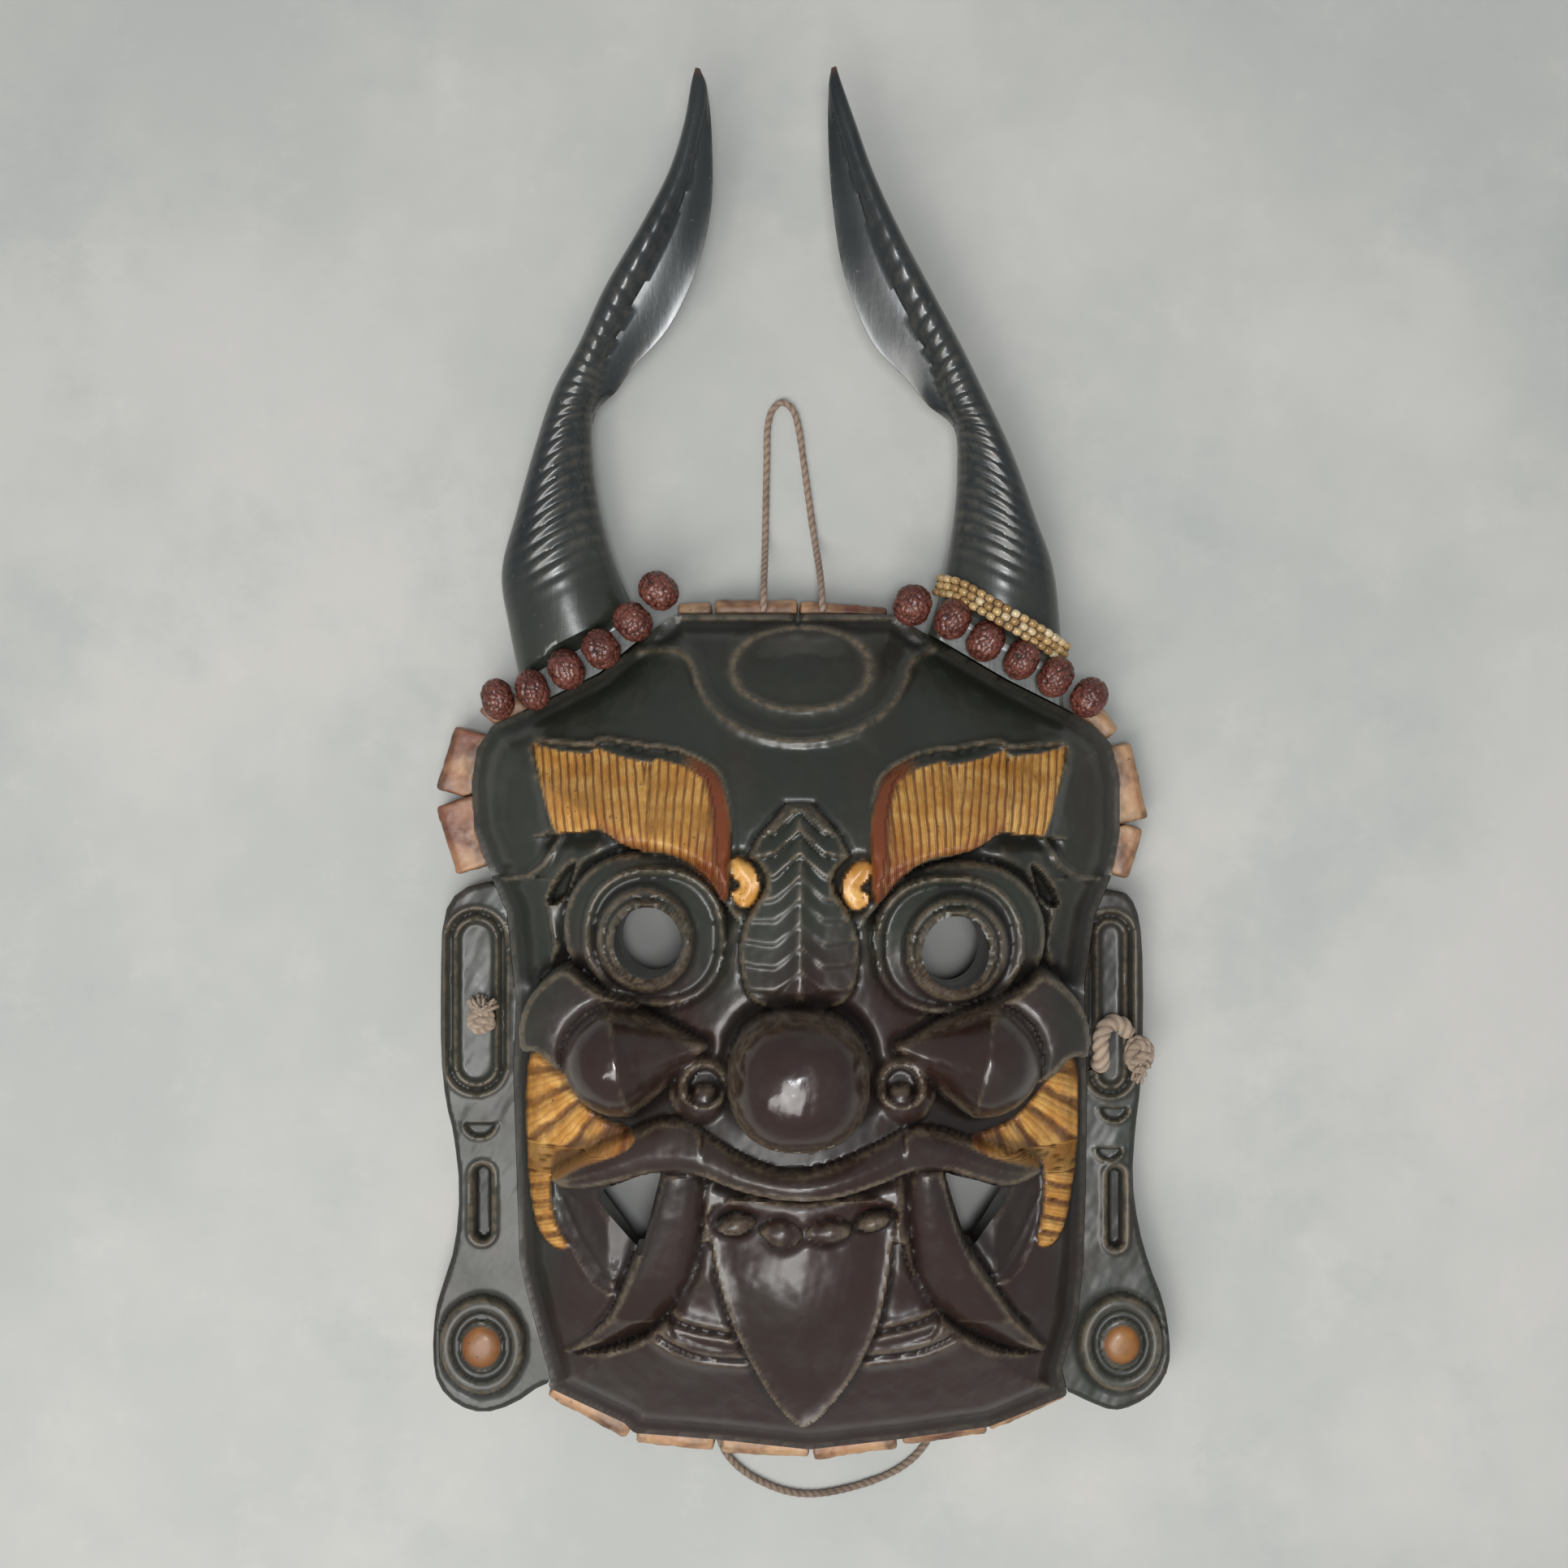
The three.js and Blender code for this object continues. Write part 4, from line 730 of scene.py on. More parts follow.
WHISKERS = {
    "left": [
        (-98.6, -98.5), (-92.3, -107.1), (-85.1, -119.7), (-77.0, -126.4), (-68.9, -127.9), (-61.6, -129.6),
        (-65.3, -135.1), (-76.1, -139.6), (-85.1, -143.2), (-92.3, -148.0), (-97.4, -150.0),
        (-97.6, -157.7),
        (-96.9, -165.9), (-94.0, -172.6), (-89.7, -178.0), (-93.2, -179.3), (-98.6, -177.1),
        (-103.6, -171.6),
        (-106.0, -162.1), (-107.3, -150.4), (-107.9, -136.9), (-108.2, -123.3), (-107.5, -109.8),
        (-105.5, -102.5),
    ],
    "right": [
        (101.0, -102.0), (97.3, -110.1), (88.1, -120.7), (80.0, -127.4), (71.9, -129.9), (61.6, -131.6),
        (66.3, -136.1), (77.1, -140.0), (85.1, -142.2), (92.3, -144.6), (94.0, -147.0), (94.2, -157.7),
        (93.4, -165.9), (90.5, -176.0), (93.7, -178.6), (98.6, -177.1), (103.0, -170.6), (105.0, -162.1),
        (107.3, -150.4), (108.5, -136.9), (108.8, -123.3), (108.5, -112.8), (106.5, -105.5),
    ],
}
NOSTRIL = (-36.3, -110.5)


def dome(x, y, s):
    swell = DOME_RISE * np.sin(np.clip((s - BEVEL) / DOME_RUN, 0, 1) * np.pi / 2)
    ridge = RIDGE_RISE * bell(x, 48) * smooth(20, -40, y) * smooth(-235, -150, y)
    return WALL_H + BEVEL * smooth(0, 2 * BEVEL, s) + swell + ridge * smooth(0, 30, s)


def hollow(x, y):
    s = inside(OUTLINE, x, y)[0] - SHELL
    return HOLLOW_START + HOLLOW_RISE * np.sin(np.clip(s / HOLLOW_RUN, 0, 1) * np.pi / 2)


def stage_in(h, target, d, width):
    """Gives a region a surface of its own, with a cliff of the given width at its edge."""
    return h + (target - h) * smooth(-width / 2, width / 2, d)


def oval(x, y, cx, cy, rx, ry, power=2.0):
    return (np.abs((x - cx) / rx) ** power + np.abs((y - cy) / ry) ** power) ** (1 / power)


def ball(r, power=2.0):
    return np.maximum(0, 1 - np.minimum(r, 1) ** power) ** (1 / power)


def groove(h, line, x, y, width, depth):
    d = line_distance(line, x, y)[0]
    return h - depth * bell(d, width)


def rim_round(d, width):
    """A rounded shoulder: 0 at an edge, 1 a width in from it."""
    return np.sqrt(1 - (1 - np.clip(d / width, 0, 1)) ** 2)


def carve_brow(h, at, x, y, base, mirror):
    brow, recess, ledge, comma = (mirrored(p) if mirror else p for p in (BROW, RECESS, LEDGE, COMMA))
    u = -x - 1.5 if mirror else x
    v = y + 1 if mirror else y
    drop = np.clip((14 - 0.25 * np.abs(np.abs(u) - 66) - v) / 34, 0, 1)
    top = base - 4.6 + 11.5 * drop
    d_recess = inside(rounded(recess, 1), x, y)[0]
    d_brow = inside(brow, x, y)[0]
    d_ledge, _, _, _, side = line_distance(ledge, x, y)
    below = side < 0
    h = h + 1.2 * bell(d_recess + 1.2, 1.6) * (d_recess < 0) * ~below
    h = h - 8.0 * bell(d_ledge, 6.5) * below * (d_recess < 0.5)
    h = stage_in(h, top + 1.4, d_recess, 1.6)
    lobe = (u + 80.5) / 24.5
    saw = (lobe - np.floor(lobe)) * (u > -80.5) + (u <= -80.5) * (u + 105) / 24.5
    strand = (u + 0.15 * v - 0.004 * (u + 95) * (v + 10) * (u > -60)) / 3.3
    hair = np.abs(np.sin(np.pi * strand + 0.5 * noise_at(x, y, 9, 3))) ** 0.6
    panel = top + 0.9 - 1.4 * saw + 0.7 * (hair - 0.6)
    h = stage_in(h, panel, d_brow, 1.2)
    gold = smooth(-0.5, 0.5, d_brow)
    mark(at, "gold", gold)
    at["strand"] = np.where(d_brow > -1.5, strand, at["strand"])
    foot = smooth(7, 0, d_ledge + 1.5 * noise_at(x, y, 5, 4)) * (u > -78)
    inner = smooth(-46, -33, u) * smooth(-5, -32, v)
    mark(at, "burn", gold * np.clip(0.75 * foot + 0.8 * inner, 0, 1))
    wall = smooth(-0.5, 0.5, d_recess) * (1 - gold) * smooth(-47, -38, u)
    mark(at, "gold", wall)
    mark(at, "burn", wall * 0.97)
    d_comma = inside(rounded(comma, 1), x, y)[0]
    h = h - 3.5 * moat(d_comma, 2.2)
    h = smax(h, np.where(d_comma > -0.4, 82 + 5.5 * rim_round(d_comma, 4.5), 0), 0.5)
    mark(at, "gold", smooth(-0.6, 0.3, d_comma))
    at["burn"] = np.where(d_comma > -0.3, 0.35 * smooth(1.4, 0.2, d_comma), at["burn"])
    at["strand"] = np.where(d_comma > -0.5, 0.3, at["strand"])
    return h


def carve_eye(h, at, x, y, side, mirror):
    sign = side["sign"]
    (bx, by), (brx, bry) = side["bore"], side["bore_r"]
    lobe, ring1 = oval(x, y, *side["lobe"], 2.15), oval(x, y, *side["ring1"], 2.3)
    ring2 = oval(x, y, *side["ring2"])
    bore = oval(x, y, bx, by, brx, bry)
    tilt = -0.15 * sign * (x - bx) + 0.05 * (y - by)
    edge = (1 - lobe) * side["lobe"][2]
    h = h - 5.0 * moat(edge, 3.0) * smooth(-95, -70, y)
    mound = 66.5 + 7.0 * rim_round(edge, 10) + tilt
    h = stage_in(h, mound, edge, 1.6)
    steps1 = [0, 0.62, 0.80, 0.87, 0.93, 0.985, 1.04], [78, 77.2, 74.6, 73.6, 75.4, 76.2, 73.6]
    flat1 = np.interp(ring1, *steps1) + tilt
    h = np.where(ring1 < 1.04, smax(flat1, h - 2.0 * smooth(1.05, 0.95, ring1), 0.5), h)
    steps2 = [0, 0.74, 0.80, 0.86, 0.92, 1.0, 1.1], [85, 85.4, 83.6, 81.8, 82.6, 80.6, 75]
    flat2 = np.interp(ring2, *steps2) + tilt
    h = np.where(ring2 < 1.1, smax(flat2, h, 0.6), h)
    lip = (bore - 1) * brx
    h = h + 1.3 * bell(lip - 1.6, 1.1)
    cut = [(-99.5, -46.4), (-95.6, -36.8), (-85.6, -26.6), (-87.5, -34.0), (-91.6, -44.4)]
    cut = mirrored(cut, (1.0, -1.0)) if mirror else cut
    h = h - 8.5 * smooth(-0.4, 1.6, inside(rounded(cut, 1), x, y)[0])
    fold = [(-98.2, -44), (-97.0, -52), (-95.0, -61), (-97.0, -69)]
    fold = [(-px, py) for px, py in fold] if mirror else fold
    d = line_distance(fold, x, y)[0]
    h = h + 1.6 * bell(d, 1.5)
    mark(at, "line", 0.8 * bell(lip - 1.2, 0.8))
    mark(at, "line", 0.35 * bell((ring1 - 0.975) * 26, 0.9))
    return h


def carve_cheek(h, at, x, y, side, mirror):
    sign = side["sign"]
    cx, cy, rx, ry = side["cheek"]
    pad = [(-106.4, -101.5), (-107.4, -93.0), (-105.6, -83.3), (-100.2, -74.4), (-88.6, -65.8),
           (-81.9, -71.7),
           (-73.2, -77.5), (-58, -82), (-58, -100), (-80, -112), (-92, -107.4), (-98.6, -98.5)]
    pad = mirrored(pad, (1.5, -2.0)) if mirror else pad
    d_pad = inside(rounded(pad, 2), x, y)[0]
    px, py = side["pad"]
    dark = moat(d_pad, 4.0)
    h = h - 6.0 * dark * smooth(-86, -76, y)
    swell = 60 + 24 * ball(oval(x, y, px - 4 * sign, py - 3, 30, 30))
    h = stage_in(h, np.maximum(h, swell), d_pad, 1.8)
    # the round cheek, drawn out to a point towards the nose
    tx, ty = cx - sign * 30, cy + 5.5
    ax, ay = tx - cx, ty - cy
    t = np.clip(((x - cx) * ax + (y - cy) * ay) / (ax * ax + ay * ay), 0, 1)
    reach = np.hypot(x - cx - t * ax, (y - cy - t * ay) * rx / ry)
    radius = rx * (1 - t) ** 0.85 + 3.0 * t
    round_top = 72 + (30 * (1 - t) ** 1.2 + 16 * t) * ball(reach / radius, 2.1)
    outside = (reach - radius)
    h = h - 2.4 * bell(np.maximum(outside, 0), 2.2) * (outside > 0)
    h = np.where(reach < radius, smax(h, round_top, 0.8), h)
    mark(at, "polish", smooth(1.05, 0.8, reach / radius))
    # nostril: a wing with an arched rim over a hollow
    nx, ny = -sign * NOSTRIL[0], NOSTRIL[1]
    wing = 76 + 12 * ball(oval(x, y, nx, ny - 2, 13.5, 14.5))
    h = np.where(oval(x, y, nx, ny - 2, 13.5, 14.5) < 1, smax(h, wing, 1.2), h)
    r = np.hypot((x - nx) / 0.95, (y - ny) / 1.05)
    ring = bell(r - 8.6, 1.9) * smooth(-8.5, -2.5, y - ny)
    h = h + 2.8 * ring
    hole = smooth(7.6, 4.8, r) * smooth(-9, -4, y - ny)
    h = h - 8.0 * hole
    r_in = np.hypot(x - nx, y - ny + 4.5)
    h = np.where(r_in < 5.2, smax(h, 80 + 5.5 * ball(r_in / 5.2), 1.0), h)
    mark(at, "line", 0.55 * bell(r - 8.9, 1.1) * smooth(-3, 3, y - ny))
    return h


def carve_whiskers(h, at, x, y, base, name, sign):
    outline = WHISKERS[name]
    d = inside(rounded(outline, 1), x, y)[0]
    u, v = x * -sign, y
    root = np.array([-60.0, -129.0])
    fan = np.arctan2(v - root[1] - 30, u - root[0]) * 19.0
    low = 0.35 * u - v * 0.32
    upper = smooth(-150, -138, v)
    strand = (upper * fan + (1 - upper) * (-v / 1.55 + 0.2 * u)) / 4.2
    hair = np.abs(np.sin(np.pi * strand + 0.35 * noise_at(x, y, 11, 7))) ** 0.6
    top = base + 2.2 + 2.3 * (hair - 0.4) - 0.02 * low
    h = stage_in(h, top, d, 1.4)
    gold = smooth(-0.5, 0.6, d)
    mark(at, "gold", gold)
    at["strand"] = np.where(d > -1.5, strand, at["strand"])
    tip = smooth(-86, -64, u) * smooth(-145, -122, v)
    mark(at, "burn", gold * np.clip(0.95 * tip + 0.25 * smooth(2.5, 0.5, d), 0, 1))
    return h


def carve_mouth(h, at, x, y, base, name):
    sign = SIDES[name]["sign"]
    floor_top = np.minimum(base - 5, 53 + 0.03 * (y + 160))
    d = inside(rounded(MOUTH[name], 1), x, y)[0]
    slope = 3.5 * smooth(0.5, 12, d)
    h = stage_in(h, floor_top - slope + 3.0, d, 2.0)
    # painted shade: the mouth corners are marked dark
    mark(at, "dark", 0.55 * smooth(0, 2, d))
    step_line = [(-93, -160), (-86, -174), (-77, -186), (-68, -190)]
    step_line = step_line if sign < 0 else [(-a - 2, b) for a, b in step_line]
    h = groove(h, step_line, x, y, 1.2, 1.2)
    return h


def carve_tusk(h, at, x, y, name):
    d = inside(rounded(TUSKS[name], 2), x, y)[0]
    mid = np.interp(y, [-222, -212, -203, -185, -160, -138], [40, 49, 59, 69, 79, 86])
    h = h - 3.0 * moat(d, 2.5) * smooth(-222, -205, y)
    h = stage_in(h, mid - 6 + 7.5 * rim_round(d, 8.5), d, 1.3)
    mark(at, "polish", 0.5 * smooth(1, 5, d))
    return h


def carve(x, y):
    """Height of the front at each point of the plan, with what its finish depends on."""
    s = inside(OUTLINE, x, y)[0]
    base = dome(x, y, s)
    at = {k: np.zeros(x.shape) for k in ("gold", "burn", "strand", "line", "dark", "polish", "chip")}
    h = base.copy()
    # forehead: the collar round the third eye, and the eye itself
    h = h - 2.2 * smooth(0.5, 6, inside(np.vstack([COLLAR, [(36, 72), (-48, 72)]]), x, y)[0]) * (y < 66)
    d = line_distance(COLLAR, x, y)[0]
    h = h + 2.6 * bell(d, 2.3)
    mark(at, "line", 0.75 * bell(d, 1.3))
    eye = oval(x, y, *THIRD_EYE, *THIRD_EYE_R, 2.15)
    h = h + np.interp(eye, [0, 0.35, 0.80, 0.90, 1.0, 1.10, 1.25], [4.6, 4.2, 0.6, 0.4, 2.4, 1.2, 0])
    mark(at, "line", bell(eye - 1.0, 0.07))
    mark(at, "polish", smooth(0.95, 0.7, eye))
    notch = [(-5.5, 70), (-1.5, 61.5), (2.5, 70)]
    h = h - 3.0 * smooth(-0.5, 1.5, inside(notch, x, y)[0])
    edge_line = [(-57, 60), (-79, 41), (-104, 28)], [(44, 60), (80, 39), (112, 22)]
    for line in edge_line:
        d = line_distance(line, x, y)[0]
        h = h + 0.9 * bell(d, 2.0)
    for name, side in SIDES.items():
        sign = side["sign"]
        mirror = sign > 0
        # the smooth hollow of the temple, with a fold under it
        temple = oval(x, y, 108 * sign, -8, 15, 30)
        h = h - 4.0 * smooth(1.15, 0.35, temple)
        fold = [(-93.5, -19.5), (-95.8, -24), (-99.8, -30.5), (-106.2, -34.8), (-116.0, -36.2)]
        fold = fold if not mirror else [(-a, b) for a, b in fold]
        d = line_distance(fold, x, y)[0]
        h = h + 2.0 * bell(d, 1.6) - 1.6 * bell(d - 3.0, 2.5) * (y > -36)
        mark(at, "line", 0.35 * bell(d, 1.0))
        h = carve_whiskers(h, at, x, y, base, name, sign)
        h = carve_brow(h, at, x, y, base, mirror)
        h = carve_eye(h, at, x, y, side, mirror)
        h = carve_cheek(h, at, x, y, side, mirror)
    # bridge of the nose, with barbs down both sides like a feather's
    bridge = rounded(BRIDGE + [(-a - 2.4, b) for a, b in BRIDGE[::-1][1:-1]], 1)
    d = inside(bridge, x, y)[0]
    across = np.abs(x + 1.2)
    v = y + 0.95 * np.minimum(across, 9) + 0.22 * np.maximum(across - 9, 0)
    v = v - 0.012 * across**2 * smooth(-30, -60, y)
    tops = np.array(CHEVRONS)
    k = np.clip(np.searchsorted(-tops, -v, side="right") - 1, 0, len(tops) - 2)
    share = np.clip((tops[k] - v) / (tops[k] - tops[k + 1]), 0, 1)
    barb = np.where(share < 0.82, share / 0.82, (1 - share) / 0.18)
    spine = 2.2 * bell(across, 3.2)
    top = base + 4.6 - 0.1 * across + (1.1 + 1.6 * smooth(-46, -20, y)) * barb + spine
    h = stage_in(h, top, d, 1.8)
    h = h - 2.0 * moat(d, 2.0) * smooth(-80, -60, y)
    mark(at, "line", 0.45 * bell(d - 0.6, 0.7) * smooth(-40, -20, y))
    # mouth
    for name in SIDES:
        h = carve_mouth(h, at, x, y, base, name)
    d = inside(rounded(JAW, 1), x, y)[0]
    h = stage_in(h, base - 7.5 * smooth(-216, -190, y), d, 2.0)
    for name in SIDES:
        for k, fold in enumerate(FOLDS[name]):
            d = line_distance(resample(fold, 2)[0], x, y)[0]
            h = h - 1.7 * bell(d, 1.3) + 1.5 * bell(d - 2.6, 2.4)
        h = carve_tusk(h, at, x, y, name)
    gum = [(-36, -143), (36, -141), (36, -161), (30, -167), (-30, -168), (-36, -163)]
    d = inside(rounded(gum, 2), x, y)[0]
    h = stage_in(h, 80 + 0.004 * np.maximum(40 - np.abs(x), 0) ** 1.6, d, 2.0)
    d = inside(rounded(TONGUE, 1), x, y)[0]
    tongue = 58 + 30 * smooth(-262, -178, y) - 0.010 * x * x
    tongue = tongue - 1.4 * smooth(0.5, 7, d) + 0.9 * bell(d - 1.0, 1.0) + 0.5 * bell(x, 5)
    h = h - 2.2 * moat(d, 2.4) * smooth(-235, -215, y) * smooth(-158, -166, y)
    h = stage_in(h, tongue, d, 1.1)
    rim = bell(d - 0.5, 0.75) * smooth(-160, -175, y)
    mark(at, "line", 0.95 * rim)
    for tx, ty, rx, ry, turn in TEETH:
        c, n = math.cos(turn), math.sin(turn)
        u, w = (x - tx) * c + (y - ty) * n, (y - ty) * c - (x - tx) * n
        r = (np.abs(u / rx) ** 1.5 + np.abs(w / ry) ** 1.8) ** 0.6
        h = h - 1.6 * bell(np.maximum(r - 1, 0) * 4, 1.4) * (r > 1) * (r < 2)
        h = np.where(r < 1, smax(h, 84 + 4.6 * ball(r, 1.8), 0.4), h)
    # upper lip, from corner to corner under the nose
    d = inside(rounded(LIP, 2), x, y)[0]
    mid = 99 - 31 * (np.abs(x) / 93) ** 1.5
    h = h - 5.0 * moat(d, 3.0) * (y < -140) * (np.abs(x) < 36)
    h = stage_in(h, mid - 7 + 7.5 * rim_round(d, 9) - 0.15 * (y + 140) * (np.abs(x) < 38), d, 1.5)
    d = line_distance(resample(LIP_EDGE, 2)[0], x, y)[0]
    h = h + 1.0 * bell(d, 1.2)
    mark(at, "line", 0.5 * bell(d, 0.8))
    # nose
    r = oval(x, y, *NOSE, *NOSE_R, 2.35)
    h = h - 5.5 * bell(np.maximum(r - 1, 0) * 26, 4.0) * (r > 1) * smooth(-128, -112, y)
    h = np.where(r < 1, smax(h, 88 + (NOSE_TOP - 88) * ball(r, 2.5), 1.0), h)
    mark(at, "polish", smooth(1.02, 0.9, r))
    at["chip"] = bell(r - 0.93, 0.10) * smooth(-124, -129, y) * (0.6 + 0.4 * noise_at(x, y, 7, 11))
    # tool marks
    wood = 1 - at["gold"]
    h = h + wood * (0.22 * noise_at(x, y, 22, 1) + 0.12 * noise_at(x, y, 8, 2)) * smooth(0, 4, s)
    red = smooth(-30, -95, y) * smooth(104, 84, np.abs(x)) + 0.5 * smooth(-130, -190, y)
    at["red"] = np.clip(red + 0.25 * noise_at(x, y, 60, 9), 0, 1)
    mark(at, "line", 0.30 * bell(s - 1.2, 1.0))
    return h, at


FACE_BOX = ((-131.0, -263.0), (127.0, 69.5))
FACE_STEP = 1.0
BACK_STEP = 2.0
holes = [ellipse(*SIDES[n]["bore"], *SIDES[n]["bore_r"]) for n in SIDES] + [MOUTH_GAP[n] for n in SIDES]


def face_region(x, y):
    region = inside(OUTLINE, x, y)
    for hole in holes:
        d, ex, ey = inside(hole, x, y)
        region = nearer(region, (-d, ex, ey))
    return region


wood = carved_wood("carved_wood", 0.30)
ear_wood = carved_wood("ear_wood", 0.42)


def make_face():
    x, y, quads, rim = cells(face_region, FACE_BOX, FACE_STEP)
    z, at = carve(x, y)
    outer = np.abs(inside(OUTLINE, x, y)[0]) < 0.05
    z = np.where(outer, np.minimum(z, WALL_H + 0.4), z)
    wear, dirt_and_shade = edge_wear_and_shade(x, y, z, FACE_STEP)
    at["wear"] = np.clip(np.maximum(0.8 * wear, at.pop("line")), 0, 1)
    # painted shade where the surface is sunk, and in the mouth corners
    at["dirt_and_shade"] = np.maximum(0.85 * dirt_and_shade, at.pop("dark"))
    bottom = np.where(outer, 0.0, hollow(x, y))
    points, side_faces, ids = walls(x, y, z, bottom, rim, 7)
    verts = np.vstack([np.column_stack([x, y, z]), points])
    attributes = {}
    for key, values in at.items():
        low = np.zeros(len(ids)) if key not in ("strand", "red") else values[ids]
        attributes[key] = np.concatenate([values, low])
    # painted shade on the upright walls of the rim, eye bores and mouth gaps
    attributes["dirt_and_shade"][len(x):] = 0.35
    obj = build("face_front", verts, list(quads) + side_faces, attributes, sharp=60)
    finish_piece(obj, wood, "wood", "face")
    # the hollow back and its flat rim
    x, y, quads, rim = cells(face_region, FACE_BOX, BACK_STEP)
    s = inside(OUTLINE, x, y)[0]
    z = np.where(s < SHELL - 0.8, 0.0, hollow(x, y) * smooth(SHELL - 1.0, SHELL + 1.0, s))
    z = z + 0.35 * noise_at(x, y, 14, 6) * (s > SHELL + 1)
    zero = np.zeros(len(x))
    attributes = {k: zero for k in ("gold", "burn", "strand", "polish", "chip", "wear")}
    # painted shade, darker further into the hollow of the back
    attributes["dirt_and_shade"] = 0.3 * smooth(SHELL, SHELL + 20, s)
    attributes["red"] = zero + 0.6
    obj = build("face_back", np.column_stack([x, y, z]), [q[::-1] for q in quads], attributes, sharp=50)
    finish_piece(obj, wood, "wood", "face")


make_face()


# ---- ears ----
EAR_LOW, EAR_HIGH = 6.0, 26.0
EARS = {
    "left": {
        "outline": [
            (-95, -37), (-121.5, -37), (-135.5, -40.5), (-142, -51), (-142.7, -77), (-142.7, -105),
            (-140.6, -125.5),
            (-137.4, -137.5), (-135, -159.5), (-136.8, -181.5), (-142, -197.5), (-145, -207.5),
            (-146, -225),
            (-144, -237), (-136, -245), (-126, -248), (-114, -244.5), (-102, -236), (-95, -236),
        ],
        "oval": (-128.4, -85, 12.4, 37), "moons": [(-127, -133, 6)], "slot": (-126, -164.5, 3.7, 15),
        "disc": (-126, -220.5, 17, 19.5), "stud": 7.0, "hole": (-125.5, -91, 3.2),
    },
    "right": {
        "outline": [
            (95, -40.5), (127, -40.5), (132.5, -47), (134.8, -60), (135.3, -90.5), (134.2, -118.5),
            (132, -135.5),
            (130.7, -155.5), (133.2, -174), (137.7, -190), (143.3, -203.5), (145.7, -218), (145.7, -229.5),
            (140.5, -239), (131.5, -245), (123, -247), (114, -243.5), (105, -239), (95, -236),
        ],
        "oval": (122, -86, 9.8, 37), "moons": [(123.5, -127, 5.5), (121.5, -143, 5)],
        "slot": (124, -166.5, 3.2, 16),
        "disc": (126, -219.5, 16.6, 19.3), "stud": 6.5, "hole": (118, -109.5, 3.8),
    },
}


def make_ear(name, spec):
    step = 0.8
    board = rounded(spec["outline"], 1)
    hx, hy, hr = spec["hole"]
    dx, dy, drx, dry = spec["disc"]

    def region(x, y):
        d, ex, ey = inside(board, x, y)
        df, fx, fy = inside(OUTLINE, x, y)
        away = np.hypot(fx - x, fy - y) + 1e-6
        out = np.where(df > 0, -1, 1)
        wall = (-df - GAP, fx + (x - fx) / away * GAP * out, fy + (y - fy) / away * GAP * out)
        r = np.hypot(x - hx, y - hy) + 1e-6
        hole = (r - hr, hx + (x - hx) / r * hr, hy + (y - hy) / r * hr)
        return nearer(nearer((d, ex, ey), wall), hole)

    xs = [p[0] for p in spec["outline"]]
    x, y, quads, rim = cells(region, ((min(xs) - 2, -250), (max(xs) + 2, -34)), step)
    s = inside(board, x, y)[0]
    line = np.zeros(len(x))
    h = EAR_HIGH - 1.6 * (1 - rim_round(s, 2.2)) + 0.35 * noise_at(x, y, 26, 4)
    d = inside(stadium(*spec["oval"]), x, y)[0]
    for at_d, wide, rise in ((0.0, 1.1, 0.9), (2.0, 1.2, -1.9), (4.0, 1.0, 0.9)):
        h = h + rise * bell(d - at_d, wide)
    h = h - 1.1 * smooth(4.5, 7, d)
    line = np.maximum(line, 0.6 * bell(d, 0.9) + 0.45 * bell(d - 4.0, 0.9))
    for mx, my, mr in spec["moons"]:
        r = np.hypot(x - mx, (y - my) / 0.9) / mr
        h = h - 2.2 * smooth(1.05, 0.85, r) * smooth(0.5, -0.6, y - my)
        h = h + 0.7 * bell((r - 1.15) * mr, 0.8) * smooth(1.0, -0.6, y - my)
    d = inside(stadium(*spec["slot"]), x, y)[0]
    h = h - 5.5 * smooth(-0.2, 1.4, d) + 0.9 * bell(d + 1.6, 0.9)
    line = np.maximum(line, 0.5 * bell(d + 1.4, 0.8))
    r = np.hypot((x - dx) / drx, (y - dy) / dry)
    steps = [0, 0.50, 0.54, 0.66, 0.72, 0.82, 0.93, 1.0], [3.4, 3.3, 1.4, 1.4, 3.4, 3.9, 3.4, 0.4]
    rise = np.interp(r, *steps)
    h = np.where(r < 1, EAR_HIGH + rise, h - 1.0 * bell((r - 1) * 17, 1.5))
    q = np.hypot(x - dx, (y - dy) / 1.08) / spec["stud"]
    h = np.where(q < 1.12, np.maximum(h, EAR_HIGH + 2.2 + 3.6 * ball(q / 1.12, 2.4)), h)
    line = np.maximum(line, 0.5 * bell((r - 0.95) * 17, 0.9))
    wear, dirt_and_shade = edge_wear_and_shade(x, y, h, step)
    zero = np.zeros(len(x))
    at = {k: zero for k in ("burn", "strand", "polish", "chip")}
    at["gold"] = smooth(1.12, 0.98, q)
    at["burn"] = 0.35 * smooth(0.6, 1.05, q) * (q < 1.2)
    at["wear"] = np.clip(np.maximum(0.8 * wear, line), 0, 1)
    # painted shade where the carving is sunk
    at["dirt_and_shade"] = 0.8 * dirt_and_shade
    at["red"] = zero + 0.15
    points, faces, ids = walls(x, y, h, np.full(len(x), EAR_LOW), rim, 6)
    n = len(x)
    verts = np.vstack([np.column_stack([x, y, h]), points, np.column_stack([x, y, np.full(n, EAR_LOW)])])
    under = quads[:, ::-1] + n + len(points)
    at = {k: np.concatenate([v, 0 * v[ids], 0 * v]) for k, v in at.items()}
    obj = build(f"ear_{name}_carved", verts, list(quads) + faces + list(under), at, sharp=60)
    finish_piece(obj, ear_wood, "ear_wood", f"ear_{name}")


for name, spec in EARS.items():
    make_ear(name, spec)

